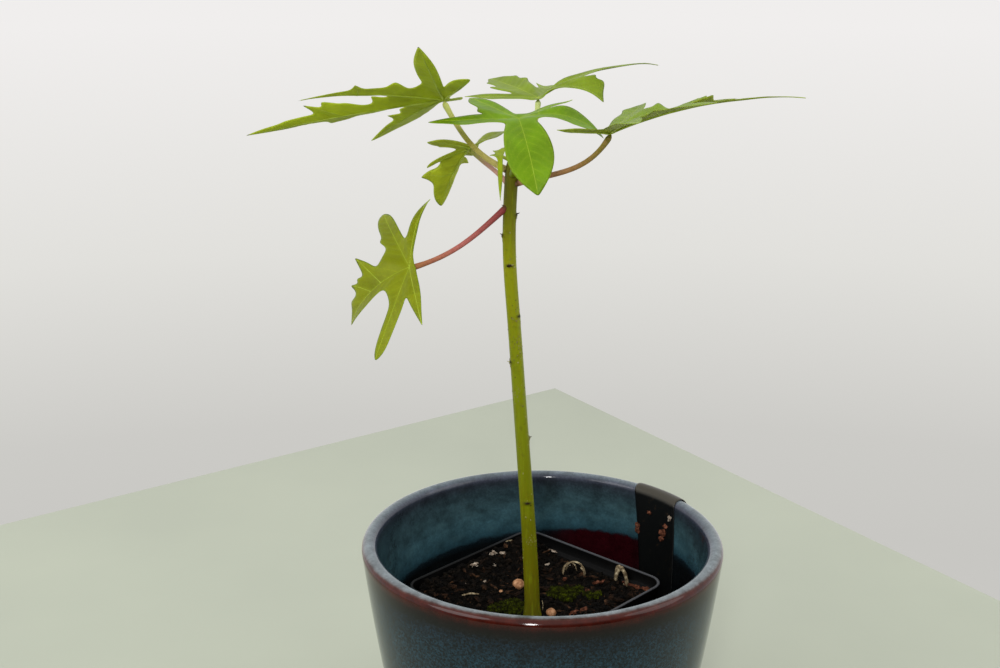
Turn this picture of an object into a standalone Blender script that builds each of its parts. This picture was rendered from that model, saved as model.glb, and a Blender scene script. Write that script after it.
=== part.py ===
"""A papaya seedling in a square nursery pot, which stands inside a glazed ceramic pot.

Metres, +Z up, +Y away from the front. The origin is the middle of the ceramic pot's flat
underside. Every leaf is a petiole (its stalk) and a blade: the blade is worked out flat from its
lobes and teeth, then each lobe is bent along its own midrib.
"""
import math
from collections import namedtuple

import bmesh
import bpy
from mathutils import Vector
from mathutils.geometry import delaunay_2d_cdt

GAP = 0.0003                  # clearance where one piece is seated on another
SAME_POINT = 1e-5             # points closer than this are one point
MERGE = 1e-7                  # merging distance where flat shapes are joined

# Ceramic pot, turned
POT_HEIGHT = 0.1085
RIM_RADIUS = 0.070
POT_WALL = 0.006
POT_FLOOR = 0.008
FOOT_ROUND = 0.005            # rounding between the wall and the flat underside
WALL_LEAN = 0.12              # how fast the wall comes in below the rim, metre for metre
WALL_CURVE = 0.54             # and how much faster it does so further down, per metre
POT_SEGMENTS = 56
WALL_STEPS = 5
LIP_STEPS = 6
RIM_LEVEL = POT_HEIGHT - POT_WALL / 2     # height at which the pot is widest

# Square nursery pot, turned so that its corners point to the front, back and sides
NURSERY_CENTRE = (-0.0025, 0.0005)
NURSERY_TURN = math.radians(46.8)
NURSERY_TOP = 0.088           # height of its rim above the ceramic pot's underside
NURSERY_TOP_SIDE = 0.071
NURSERY_FOOT_SIDE = 0.050
NURSERY_WALL = 0.0012
NURSERY_LIP = 0.0015          # how far the band under the rim stands out
NURSERY_LIP_DEPTH = 0.006
CORNER_ROUND = 0.006
CORNER_STEPS = 5

# Soil, lowest round the stem and higher at the nursery pot's wall
SOIL_LEVEL = 0.0785
SOIL_DISH = 0.0032
SOIL_BUMP = 0.0010            # height of its lumps
LUMP_PITCH = 0.0130
FINE_LUMP_PITCH = 0.0055
SOIL_RINGS = 6
STEM_SEAT = 0.009             # the soil is level this far round the stem

# Black strap that hooks over the rim at the back, right
STRAP_AZIMUTH = math.radians(40.5)
STRAP_SPREAD = math.radians(19.5)
STRAP_LEAN = 2.0              # radians that it swings aside for each metre that it hangs down
STRAP_THICK = 0.001
STRAP_OUTSIDE = 0.010         # how far it hangs down outside
STRAP_INSIDE = 0.070          # and inside
STRAP_STEPS = 6

# Stem: the points that its axis bends past, from soil to tip, and its radii up the way
STEM_BENDS = ((-0.0038, -0.009, SOIL_LEVEL + GAP), (-0.0050, -0.006, 0.1370),
              (-0.0155, -0.006, 0.2150), (-0.0115, -0.006, 0.2570))
STEM_FLARE = 0.0007           # how much wider the foot is than the stem above it
STEM_FLARE_HEIGHT = 0.006
STEM_FOOT_RADIUS = 0.0030
STEM_WAIST_RADIUS = 0.0024    # about halfway up
STEM_TOP_RADIUS = 0.0027      # where the leaves leave it
STEM_TIP_TAPER = 0.005        # length of the rounded tip
STEM_TIP_BLUNT = 0.12         # share of the cross-section that is left at its end
STEM_RINGS = 46
STEM_SIDES = 12
# Ridges that fallen leaves left: height, azimuth in degrees, and how far they stand out
STEM_SCARS = ((0.1258, 150, 0.0007), (0.1510, 20, 0.0009), (0.1810, 200, 0.0009),
              (0.1985, 330, 0.0005), (0.2177, 270, 0.0008), (0.2285, 190, 0.0009),
              (0.2360, 350, 0.0009))
SCAR_HEIGHT = 0.0016
SCAR_SPREAD = math.radians(55)

# Petioles
PETIOLE_STEPS = 12
PETIOLE_SIDES = 8
PETIOLE_FLARE = 1.45          # how much wider it is at the stem than further out
PETIOLE_PULL = 0.4            # how far it keeps its direction at each end, of its span

# Blades
BLADE_THICK = 0.0011
BLADE_SPACING = 0.0042        # size of the faces
YOUNG_SPACING = 0.0020        # and on the small young leaf
HEEL_RADIUS = 0.0022          # the round of blade where the ribs meet
HEEL_SIDES = 8
FOLD = math.radians(13)       # each half of a lobe rises from the midrib by this
RIB_BLEND = 0.0016            # width over which two lobes' bends run into each other
SHARPEST = math.radians(75)   # a sharper point in the outline that is no tip is dropped
SMOOTHINGS = 2                # how often the outline is smoothed between its tips
RIB_END = 0.9                 # the row of points on a midrib ends here, of the lobe's length
ROW_STEP = math.sqrt(3) / 2   # between the rows of an even grid of triangles
CLEAR_OF_EDGE = 0.5           # grid points keep this far from the edge and the ribs, of the
CLEAR_OF_RIB = 0.45           # spacing

# Outlines of lobes, teeth and the web between lobes, as shares of their own sizes
LOBE_STEPS = 12
LOBE_WIDEST = 0.5             # where a lobe is widest
LOBE_NECK = 0.62              # width of a lobe at its root
LOBE_FULLNESS = 1.25          # above 1 it stays wide for longer before its point
TOOTH_SWEEP = 0.7             # how far a tooth leans to the lobe's tip
TOOTH_BEND = 0.55             # where its edges bend, from root to tip
TOOTH_BACK_BULGE = 0.10
TOOTH_FRONT_BULGE = 0.05
WEB_ON_RIB = 0.15             # how much further the web goes out on a midrib than at a notch

# A lobe's heading is in degrees from the blade's middle line, to the left seen from above. Its
# lift is the slope at which it leaves the blade's plane, and its droop is how far it turns down
# from there to its tip, both in degrees. A tooth: side (1 left, -1 right), where its point is
# along the lobe, how far out the point is from the midrib, and how wide its root is.
Lobe = namedtuple("Lobe", "heading length half_width lift droop teeth")
Tooth = namedtuple("Tooth", "side place reach root")

# A leaf's node is its height on the stem. Azimuth, reach and rise place the blade's heel from
# there. The petiole leaves the stem at slope_out and meets the blade at slope_in. Heading, pitch
# and roll turn the blade. The web between two lobes goes out by a share of the shorter one. All
# angles are in degrees.
Leaf = namedtuple("Leaf", "node azimuth reach rise slope_out slope_in radius "
                          "heading pitch roll web lobes")

LEAVES = {
    "left_high": Leaf(
        node=0.2515, azimuth=175, reach=0.0243, rise=0.0253, slope_out=22, slope_in=62,
        radius=0.0011, heading=191, pitch=0, roll=22, web=0.32, lobes=(
            Lobe(-120, 0.019, 0.0030, 10, -7, ()),
            Lobe(-65, 0.052, 0.0050, 3, 12, (Tooth(1, 0.57, 0.0085, 0.012),
                                             Tooth(-1, 0.56, 0.0080, 0.012))),
            Lobe(-17, 0.071, 0.0046, -2, 4, (Tooth(1, 0.66, 0.0135, 0.016),
                                             Tooth(-1, 0.60, 0.0120, 0.018))),
            Lobe(28, 0.057, 0.0046, 1, 13, (Tooth(1, 0.73, 0.0070, 0.011),
                                            Tooth(1, 0.47, 0.0085, 0.014),
                                            Tooth(-1, 0.55, 0.0090, 0.014))),
            Lobe(73, 0.049, 0.0044, 3, -5, (Tooth(-1, 0.55, 0.0062, 0.014),)),
            Lobe(106, 0.028, 0.0042, 2, 6, ()),
        )),
    "back_high": Leaf(
        node=0.2535, azimuth=63, reach=0.0203, rise=0.0221, slope_out=35, slope_in=86,
        radius=0.0009, heading=41, pitch=17, roll=-1, web=0.32, lobes=(
            Lobe(-114, 0.014, 0.0030, 12, 0, ()),
            Lobe(-69, 0.0275, 0.0058, 1, 26, (Tooth(1, 0.76, 0.0110, 0.014),)),
            Lobe(-12, 0.056, 0.0048, 11, 36, (Tooth(1, 0.60, 0.0090, 0.014),
                                              Tooth(-1, 0.45, 0.0080, 0.014))),
            Lobe(27, 0.048, 0.0048, -5, 32, (Tooth(1, 0.60, 0.0085, 0.013),)),
            Lobe(75, 0.042, 0.0058, 6, 10, (Tooth(-1, 0.72, 0.0085, 0.012),)),
            Lobe(115, 0.030, 0.0040, 9, 5, (Tooth(1, 0.60, 0.0060, 0.010),)),
        )),
    "right_high": Leaf(
        node=0.2470, azimuth=333, reach=0.0375, rise=0.0209, slope_out=20, slope_in=60,
        radius=0.0011, heading=343, pitch=17, roll=-3, web=0.32, lobes=(
            Lobe(-114, 0.027, 0.0038, 12, -4, ()),
            Lobe(-64, 0.046, 0.0050, 5, 6, (Tooth(1, 0.58, 0.0085, 0.013),)),
            Lobe(-33, 0.052, 0.0048, 5, 8, (Tooth(-1, 0.62, 0.0090, 0.014),
                                            Tooth(1, 0.66, 0.0080, 0.013))),
            Lobe(3, 0.068, 0.0050, 4, 17, (Tooth(1, 0.52, 0.0125, 0.016),
                                           Tooth(-1, 0.56, 0.0105, 0.015))),
            Lobe(45, 0.055, 0.0050, 4, 9, (Tooth(1, 0.62, 0.0100, 0.015),
                                           Tooth(-1, 0.60, 0.0090, 0.014))),
            Lobe(84, 0.045, 0.0048, 9, 1, (Tooth(-1, 0.55, 0.0085, 0.013),)),
            Lobe(116, 0.019, 0.0034, 24, 4, ()),
        )),
    "front": Leaf(
        node=0.2500, azimuth=276, reach=0.0191, rise=0.0230, slope_out=30, slope_in=72,
        radius=0.0010, heading=270, pitch=-15, roll=6, web=0.16, lobes=(
            Lobe(-144, 0.0294, 0.0042, 1, 2, (Tooth(1, 0.50, 0.0056, 0.011),)),
            Lobe(-102, 0.0322, 0.0030, 0, 3, ()),
            Lobe(9, 0.0341, 0.0086, -3, 51, ()),
            Lobe(114, 0.0360, 0.0044, 2, 58, (Tooth(-1, 0.55, 0.0060, 0.011),)),
            Lobe(137, 0.0287, 0.0028, -5, 4, ()),
        )),
    "left_back": Leaf(
        node=0.2455, azimuth=130, reach=0.0235, rise=0.0119, slope_out=38, slope_in=30,
        radius=0.0008, heading=151, pitch=-29, roll=5, web=0.24, lobes=(
            Lobe(-96, 0.0250, 0.0034, 14, 7, ()),
            Lobe(-58, 0.0150, 0.0032, 4, 10, ()),
            Lobe(-23, 0.0345, 0.0050, -7, 26, (Tooth(1, 0.62, 0.0110, 0.012),
                                               Tooth(-1, 0.50, 0.0072, 0.011))),
            Lobe(36, 0.0230, 0.0025, 7, 20, ()),
            Lobe(92, 0.0275, 0.0036, 12, 10, (Tooth(-1, 0.50, 0.0052, 0.009),)),
        )),
    "left_low": Leaf(
        node=0.2405, azimuth=204, reach=0.0390, rise=-0.0198, slope_out=-38, slope_in=-10,
        radius=0.0011, heading=179, pitch=-27, roll=-34, web=0.34, lobes=(
            Lobe(-117, 0.0330, 0.0032, 5, 17, ()),
            Lobe(-82, 0.0365, 0.0048, 4, 19, (Tooth(1, 0.50, 0.0060, 0.012),)),
            Lobe(-2, 0.0345, 0.0048, -6, 35, (Tooth(-1, 0.60, 0.0130, 0.013),
                                              Tooth(-1, 0.76, 0.0075, 0.010))),
            Lobe(53, 0.0380, 0.0042, 1, 8, ()),
            Lobe(87, 0.0285, 0.0034, 7, 15, ()),
        )),
    "young": Leaf(
        node=0.2545, azimuth=240, reach=0.0090, rise=0.0045, slope_out=35, slope_in=20,
        radius=0.0006, heading=176, pitch=1, roll=-18, web=0.24, lobes=(
            Lobe(-99, 0.0092, 0.0016, 2, 17, ()),
            Lobe(-63, 0.0100, 0.0016, -2, 24, ()),
            Lobe(47, 0.0100, 0.0018, 7, 8, ()),
            Lobe(94, 0.0205, 0.0019, -11, 28, ()),
        )),
}

COLOURS = {
    "ceramic": ((0.10, 0.19, 0.24), 0.25),
    "nursery": ((0.02, 0.02, 0.02), 0.45),
    "soil": ((0.05, 0.035, 0.025), 0.95),
    "strap": ((0.015, 0.014, 0.013), 0.4),
    "stem": ((0.24, 0.30, 0.05), 0.6),
    "petiole": ((0.40, 0.20, 0.12), 0.5),
    "blade": ((0.18, 0.34, 0.03), 0.5),
}
SMOOTH_ANGLE = math.radians(40)


def material(name, colour, roughness):
    mat = bpy.data.materials.new(name)
    mat.use_nodes = True
    shader = mat.node_tree.nodes["Principled BSDF"]
    shader.inputs["Base Color"].default_value = (*colour, 1.0)
    shader.inputs["Roughness"].default_value = roughness
    shader.inputs["Metallic"].default_value = 0.0
    return mat


def add_object(name, verts, faces, kind):
    """A named object from points and faces, with its own material and faces turned outwards."""
    mesh = bpy.data.meshes.new(name)
    mesh.from_pydata([tuple(v) for v in verts], [], faces)
    bm = bmesh.new()
    bm.from_mesh(mesh)
    bmesh.ops.recalc_face_normals(bm, faces=bm.faces)
    bm.to_mesh(mesh)
    bm.free()
    mesh.shade_smooth()
    mesh.set_sharp_from_angle(angle=SMOOTH_ANGLE)
    colour, roughness = COLOURS[kind]
    mesh.materials.append(material(name, colour, roughness))
    obj = bpy.data.objects.new(name, mesh)
    bpy.context.scene.collection.objects.link(obj)
    return obj


def cut_away(obj, cutters):
    """Take the cutters out of obj for good, then remove them."""
    for cutter in cutters:
        mod = obj.modifiers.new("cut", "BOOLEAN")
        mod.operation = "DIFFERENCE"
        mod.solver = "EXACT"
        mod.object = cutter
    bpy.context.view_layer.update()
    seen = obj.evaluated_get(bpy.context.evaluated_depsgraph_get())
    result = bpy.data.meshes.new_from_object(seen)
    result.name = obj.name
    obj.modifiers.clear()
    obj.data = result
    drop_scraps(result)
    for cutter in cutters:
        bpy.data.objects.remove(cutter)


def drop_scraps(mesh):
    """Keep only the largest connected piece of a mesh."""
    bm = bmesh.new()
    bm.from_mesh(mesh)
    left = set(bm.verts)
    pieces = []
    while left:
        piece, waiting = set(), [left.pop()]
        while waiting:
            vert = waiting.pop()
            piece.add(vert)
            for link in vert.link_edges:
                other = link.other_vert(vert)
                if other in left:
                    left.discard(other)
                    waiting.append(other)
        pieces.append(piece)
    pieces.sort(key=len)
    for scrap in pieces[:-1]:
        bmesh.ops.delete(bm, geom=list(scrap), context="VERTS")
    bm.to_mesh(mesh)
    bm.free()


def arc(centre, radius, start, end, steps):
    """Points in a plane on an arc, angles in degrees."""
    angles = [math.radians(start + (end - start) * i / steps) for i in range(steps + 1)]
    return [(centre[0] + radius * math.cos(a), centre[1] + radius * math.sin(a)) for a in angles]


def skin(rings):
    """Faces over rings of equal count; each end is closed by one face."""
    count = len(rings[0])
    faces = []
    for k in range(len(rings) - 1):
        for i in range(count):
            j = (i + 1) % count
            faces.append((k * count + i, k * count + j, (k + 1) * count + j, (k + 1) * count + i))
    faces.append(tuple(reversed(range(count))))
    faces.append(tuple((len(rings) - 1) * count + i for i in range(count)))
    return [p for ring in rings for p in ring], faces


def wall_radius(height):
    """Outer radius of the ceramic pot at a height."""
    depth = RIM_LEVEL - height
    return RIM_RADIUS - WALL_LEAN * depth - WALL_CURVE * depth * depth


def lip_arc(clearance):
    """The half round over the rim, from the outer side to the inner, at a clearance from it."""
    middle = (RIM_RADIUS - POT_WALL / 2, RIM_LEVEL)
    return arc(middle, POT_WALL / 2 + clearance, 0, 180, LIP_STEPS)


def build_ceramic_pot():
    foot = wall_radius(FOOT_ROUND)
    profile = [(foot - FOOT_ROUND, 0.0)]
    profile += arc((foot - FOOT_ROUND, FOOT_ROUND), FOOT_ROUND, -60, 0, 3)
    heights = [FOOT_ROUND + (RIM_LEVEL - FOOT_ROUND) * i / WALL_STEPS for i in range(1, WALL_STEPS)]
    profile += [(wall_radius(z), z) for z in heights]
    profile += lip_arc(0.0)
    profile += [(wall_radius(z) - POT_WALL, z) for z in reversed(heights)]
    profile += [(wall_radius(POT_FLOOR) - POT_WALL - FOOT_ROUND / 2, POT_FLOOR)]
    rings = []
    for i in range(POT_SEGMENTS):
        a = 2 * math.pi * i / POT_SEGMENTS
        rings.append([(r * math.cos(a), r * math.sin(a), z) for r, z in profile])
    verts = [p for ring in rings for p in ring]
    count = len(profile)
    faces = []
    for i in range(POT_SEGMENTS):
        j = (i + 1) % POT_SEGMENTS
        for k in range(count - 1):
            faces.append((i * count + k, j * count + k, j * count + k + 1, i * count + k + 1))
    faces.append(tuple(i * count for i in range(POT_SEGMENTS)))
    faces.append(tuple(i * count + count - 1 for i in reversed(range(POT_SEGMENTS))))
    add_object("ceramic_pot", verts, faces, "ceramic")


def square_ring(side, z, corner):
    """A rounded square at height z, turned as the nursery pot is."""
    half = side / 2 - corner
    turn = (math.cos(NURSERY_TURN), math.sin(NURSERY_TURN))
    ring = []
    for quarter in range(4):
        a = math.radians(45 + 90 * quarter)
        centre = (half * math.copysign(1, math.cos(a)), half * math.copysign(1, math.sin(a)))
        for x, y in arc(centre, corner, 90 * quarter, 90 * quarter + 90, CORNER_STEPS):
            ring.append((NURSERY_CENTRE[0] + x * turn[0] - y * turn[1],
                         NURSERY_CENTRE[1] + x * turn[1] + y * turn[0], z))
    return ring


def nursery_side(z):
    """Outer side of the nursery pot's wall at height z."""
    low = POT_FLOOR + GAP
    share = (z - low) / (NURSERY_TOP - low)
    return NURSERY_FOOT_SIDE + (NURSERY_TOP_SIDE - NURSERY_FOOT_SIDE) * share


def build_nursery_pot():
    """A tapered square pot whose wall steps out to a band under the rim."""
    low = POT_FLOOR + GAP
    floor = low + NURSERY_WALL
    step = NURSERY_TOP - NURSERY_LIP_DEPTH

    def ring(z, out):
        return square_ring(nursery_side(z) + 2 * out, z, CORNER_ROUND + out)

    add_object("nursery_pot", *skin([
        ring(low, 0.0), ring(step, 0.0), ring(step, NURSERY_LIP), ring(NURSERY_TOP, NURSERY_LIP),
        ring(NURSERY_TOP, NURSERY_LIP - NURSERY_WALL),
        ring(step + NURSERY_WALL, NURSERY_LIP - NURSERY_WALL), ring(step + NURSERY_WALL, -NURSERY_WALL),
        ring(floor, -NURSERY_WALL),
    ]), "nursery")


def soil_height(x, y, share):
    """Lumpy surface of the soil; share is 0 at the stem and 1 at the nursery pot's wall."""
    stem = STEM_BENDS[0]
    away = min(1.0, max(0.0, math.hypot(x - stem[0], y - stem[1]) / STEM_SEAT - 1.0))
    coarse = 2 * math.pi / LUMP_PITCH
    fine = 2 * math.pi / FINE_LUMP_PITCH
    lumps = (math.sin(x * coarse) * math.cos(y * coarse) + math.sin((x + y) * fine) / 2) / 1.5
    return SOIL_LEVEL + away * (SOIL_DISH * share + SOIL_BUMP * (1 - share) * lumps)


def build_soil():
    floor = POT_FLOOR + GAP + NURSERY_WALL + GAP
    inset = NURSERY_WALL + GAP
    rim = SOIL_LEVEL + SOIL_DISH
    edge = square_ring(nursery_side(rim) - 2 * inset, rim, CORNER_ROUND - inset)
    rings = [square_ring(nursery_side(floor) - 2 * inset, floor, CORNER_ROUND - inset), edge]
    for i in range(1, SOIL_RINGS):
        share = 1 - i / SOIL_RINGS
        ring = []
        for x, y, _ in edge:
            px = STEM_BENDS[0][0] + (x - STEM_BENDS[0][0]) * share
            py = STEM_BENDS[0][1] + (y - STEM_BENDS[0][1]) * share
            ring.append((px, py, soil_height(px, py, share)))
        rings.append(ring)
    add_object("soil", *skin(rings), "soil")


def strap_path(clearance):
    """The strap's run from outside the pot over its rim and down inside, as radius and height."""
    end = RIM_LEVEL - STRAP_OUTSIDE
    path = [(wall_radius(end) + clearance, end)] + lip_arc(clearance)
    for i in range(1, STRAP_STEPS + 1):
        height = RIM_LEVEL - STRAP_INSIDE * i / STRAP_STEPS
        path.append((wall_radius(height) - POT_WALL - clearance, height))
    return path


def build_strap():
    """The strap is a sector of a skin over the rim, swung aside the further it hangs down."""
    profile = strap_path(2 * GAP) + strap_path(2 * GAP + STRAP_THICK)[::-1]
    rings = []
    for i in range(STRAP_STEPS + 1):
        ring = []
        for r, z in profile:
            across = STRAP_SPREAD * (i / STRAP_STEPS - 0.5)
            a = STRAP_AZIMUTH + across - STRAP_LEAN * (POT_HEIGHT - z)
            ring.append((r * math.cos(a), r * math.sin(a), z))
        rings.append(ring)
    add_object("strap", *skin(rings), "strap")


def bezier(points, t):
    a, b, c, d = (Vector(p) for p in points)
    s = 1 - t
    return a * s**3 + b * 3 * s * s * t + c * 3 * s * t * t + d * t**3


def bezier_direction(points, t):
    a, b, c, d = (Vector(p) for p in points)
    s = 1 - t
    return ((b - a) * s * s + (c - b) * 2 * s * t + (d - c) * t * t).normalized()


def stem_at(height):
    """Where the stem's axis is at a height, found by halving."""
    low, high = 0.0, 1.0
    for _ in range(40):
        middle = (low + high) / 2
        if bezier(STEM_BENDS, middle).z < height:
            low = middle
        else:
            high = middle
    return bezier(STEM_BENDS, low)


def stem_radius(height, azimuth):
    foot = STEM_BENDS[0][2]
    tip = STEM_BENDS[-1][2]
    share = (height - foot) / (tip - foot)
    radius = STEM_WAIST_RADIUS + (STEM_FOOT_RADIUS - STEM_WAIST_RADIUS) * (1 - share) ** 2
    radius += (STEM_TOP_RADIUS - STEM_WAIST_RADIUS) * share ** 6
    radius += STEM_FLARE * max(0.0, 1 - (height - foot) / STEM_FLARE_HEIGHT) ** 2
    for at, side, size in STEM_SCARS:
        turn = math.remainder(azimuth - math.radians(side), 2 * math.pi) / SCAR_SPREAD
        radius += size * math.exp(-((height - at) / SCAR_HEIGHT) ** 2 - turn * turn)
    end = max(0.0, min(1.0, (tip - height) / STEM_TIP_TAPER))
    return radius * math.sqrt(STEM_TIP_BLUNT + (1 - STEM_TIP_BLUNT) * (1 - (1 - end) ** 2))


def stem_mesh(grow=0.0):
    foot, tip = STEM_BENDS[0][2], STEM_BENDS[-1][2]
    heights = [foot + (tip - foot) * i / STEM_RINGS for i in range(STEM_RINGS + 1)]
    heights += [at + d * SCAR_HEIGHT / 2 for at, _, _ in STEM_SCARS for d in (-1, 0, 1)]
    rings = []
    for height in sorted(heights):
        centre = stem_at(height)
        ring = []
        for i in range(STEM_SIDES):
            a = 2 * math.pi * i / STEM_SIDES
            r = stem_radius(height, a) + grow
            ring.append((centre.x + r * math.cos(a), centre.y + r * math.sin(a), height))
        rings.append(ring)
    return skin(rings)


def build_stem():
    add_object("stem", *stem_mesh(), "stem")


def tube(centres, directions, radii, sides):
    """Rings round a path, each square to it, closed at both ends."""
    rings = []
    for centre, along, radius in zip(centres, directions, radii):
        side = along.cross(Vector((0, 0, 1))).normalized()
        up = side.cross(along)
        angles = [2 * math.pi * i / sides for i in range(sides)]
        rings.append([centre + (side * math.cos(a) + up * math.sin(a)) * radius for a in angles])
    return skin(rings)


def slope_vector(azimuth, slope):
    a, s = math.radians(azimuth), math.radians(slope)
    return Vector((math.cos(a) * math.cos(s), math.sin(a) * math.cos(s), math.sin(s)))


def heel_of(leaf):
    """Where the leaf's ribs meet."""
    level = slope_vector(leaf.azimuth, 0)
    return stem_at(leaf.node) + level * leaf.reach + Vector((0, 0, leaf.rise))


def petiole_mesh(leaf):
    start, heel = stem_at(leaf.node), heel_of(leaf)
    pull = (heel - start).length * PETIOLE_PULL
    points = (start, start + slope_vector(leaf.azimuth, leaf.slope_out) * pull,
              heel - slope_vector(leaf.azimuth, leaf.slope_in) * pull, heel)
    steps = [i / PETIOLE_STEPS for i in range(PETIOLE_STEPS + 1)]
    radii = [leaf.radius * (1 + (PETIOLE_FLARE - 1) * (1 - t) ** 4) for t in steps]
    return tube([bezier(points, t) for t in steps], [bezier_direction(points, t) for t in steps],
                radii, PETIOLE_SIDES)


def heading_vector(degrees):
    return Vector((math.cos(math.radians(degrees)), math.sin(math.radians(degrees))))


def midrib_end(lobe):
    return heading_vector(lobe.heading) * lobe.length


def lobe_shape(lobe):
    """Flat outline of one lobe without its teeth."""
    along = heading_vector(lobe.heading)
    across = Vector((-along.y, along.x))
    right, left = [], []
    for i in range(LOBE_STEPS):
        u = i / LOBE_STEPS
        if u < LOBE_WIDEST:
            share = LOBE_NECK + (1 - LOBE_NECK) * math.sin(math.pi / 2 * u / LOBE_WIDEST)
        else:
            narrowing = (u - LOBE_WIDEST) / (1 - LOBE_WIDEST)
            share = math.cos(math.pi / 2 * narrowing ** LOBE_FULLNESS)
        right.append(along * lobe.length * u - across * lobe.half_width * share)
        left.append(along * lobe.length * u + across * lobe.half_width * share)
    return right + [midrib_end(lobe)] + left[::-1]


def tooth_tip(lobe, tooth):
    along = heading_vector(lobe.heading)
    across = Vector((-along.y, along.x)) * tooth.side
    return along * lobe.length * tooth.place + across * tooth.reach


def tooth_shape(lobe, tooth):
    """Flat outline of one tooth, rooted on the midrib and leaning towards the lobe's tip."""
    along = heading_vector(lobe.heading)
    across = Vector((-along.y, along.x)) * tooth.side
    tip = tooth_tip(lobe, tooth)
    back = tip - across * tooth.reach - along * (tooth.root / 2 + tooth.reach * TOOTH_SWEEP)
    front = back + along * tooth.root
    back_bend = back.lerp(tip, TOOTH_BEND) + across * tooth.reach * TOOTH_BACK_BULGE
    front_bend = front.lerp(tip, TOOTH_BEND) - along * tooth.root * TOOTH_FRONT_BULGE
    return [back, back_bend, tip, front_bend, front]


def anticlockwise(points):
    area = sum(a.x * b.y - b.x * a.y for a, b in zip(points, points[1:] + points[:1]))
    return points if area > 0 else points[::-1]


def web_shape(leaf):
    """The web between the lobes: out along each midrib and in again at each notch."""
    points = [Vector((0.0, 0.0))]
    for lobe, after in zip(leaf.lobes, leaf.lobes[1:]):
        points.append(midrib_end(lobe) * (leaf.web + WEB_ON_RIB))
        reach = leaf.web * min(lobe.length, after.length)
        points.append(heading_vector((lobe.heading + after.heading) / 2) * reach)
    points.append(midrib_end(leaf.lobes[-1]) * (leaf.web + WEB_ON_RIB))
    return points


def joined_outline(shapes):
    """The outer boundary of flat shapes that overlap."""
    verts, faces = [], []
    for shape in shapes:
        faces.append(list(range(len(verts), len(verts) + len(shape))))
        verts += anticlockwise(shape)
    verts, _, triangles, *_ = delaunay_2d_cdt(verts, [], faces, 1, MERGE)
    sides = [pair for t in triangles for pair in zip(t, t[1:] + t[:1])]
    follow = {}
    for a, b in set(sides) - {(b, a) for a, b in sides}:
        follow.setdefault(a, []).append(b)
    loops = []
    while follow:
        start = min(follow)
        loop = [start]
        while True:
            here = loop[-1]
            following = follow[here].pop()
            if not follow[here]:
                del follow[here]
            if following == start:
                break
            loop.append(following)
        loops.append([Vector(verts[i]) for i in loop])
    return max(loops, key=len)


def even_run(run, spacing):
    """Evenly spaced points along a run of points, without its last."""
    length = sum((b - a).length for a, b in zip(run, run[1:]))
    steps = max(2, round(length / spacing))
    points = []
    walked, index = 0.0, 0
    for k in range(steps):
        target = length * k / steps
        while walked + (run[index + 1] - run[index]).length < target:
            walked += (run[index + 1] - run[index]).length
            index += 1
        part = (target - walked) / max(MERGE, (run[index + 1] - run[index]).length)
        points.append(run[index].lerp(run[index + 1], part))
    return points


def even_outline(outline, tips, spacing):
    """The outline with evenly spaced points, its notches rounded and its tips kept."""
    kept = [i for i, p in enumerate(outline) if min((p - c).length for c in tips) < SAME_POINT]
    result, fixed = [], []
    for first, last in zip(kept, kept[1:] + [kept[0] + len(outline)]):
        points = even_run([outline[i % len(outline)] for i in range(first, last + 1)], spacing)
        result += points
        fixed += [True] + [False] * (len(points) - 1)
    count = len(result)
    for _ in range(SMOOTHINGS):
        result = [p if fixed[i] else (result[i - 1] + p * 2 + result[(i + 1) % count]) / 4
                  for i, p in enumerate(result)]
    blunt = []
    for i, p in enumerate(result):
        turn = (result[i - 1] - p).angle(result[(i + 1) % count] - p, math.pi)
        if fixed[i] or turn > SHARPEST:
            blunt.append(p)
    return blunt


def grown(outline, amount):
    """The outline moved outwards."""
    count = len(outline)
    moved = []
    for i, p in enumerate(outline):
        along = (outline[(i + 1) % count] - outline[i - 1]).normalized()
        moved.append(p + Vector((along.y, -along.x)) * amount)
    return moved


def inside(point, outline):
    hit = False
    for a, b in zip(outline, outline[1:] + outline[:1]):
        if (a.y > point.y) != (b.y > point.y):
            if point.x < a.x + (point.y - a.y) * (b.x - a.x) / (b.y - a.y):
                hit = not hit
    return hit


def segment_distance(point, a, b):
    line = b - a
    share = max(0.0, min(1.0, (point - a).dot(line) / line.length_squared))
    return (point - a - line * share).length


def rib_distance(point, lobe):
    return segment_distance(point, Vector((0, 0)), midrib_end(lobe))


def blade_outline(leaf, spacing):
    """The flat blade's edge, from its lobes, teeth, web and heel."""
    heel = [heading_vector(360 * i / HEEL_SIDES) * HEEL_RADIUS for i in range(HEEL_SIDES)]
    shapes = [web_shape(leaf), heel]
    tips = []
    for lobe in leaf.lobes:
        shapes.append(lobe_shape(lobe))
        tips.append(midrib_end(lobe))
        for tooth in lobe.teeth:
            shapes.append(tooth_shape(lobe, tooth))
            tips.append(tooth_tip(lobe, tooth))
    return even_outline(joined_outline(shapes), tips, spacing)


def grid_points(leaf, outline, spacing):
    """An even grid inside the outline, clear of its edge and of the ribs."""
    size = max(lobe.length for lobe in leaf.lobes)
    rows = int(size / spacing / ROW_STEP) + 1
    columns = int(size / spacing) + 1
    points = []
    for row in range(-rows, rows + 1):
        for column in range(-columns, columns + 1):
            p = Vector(((column + 0.5 * (row % 2)) * spacing, row * spacing * ROW_STEP))
            if not inside(p, outline):
                continue
            edge = min(segment_distance(p, a, b) for a, b in zip(outline, outline[1:] + outline[:1]))
            rib = min(rib_distance(p, lobe) for lobe in leaf.lobes)
            if edge > spacing * CLEAR_OF_EDGE and rib > spacing * CLEAR_OF_RIB:
                points.append(p)
    return points


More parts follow.
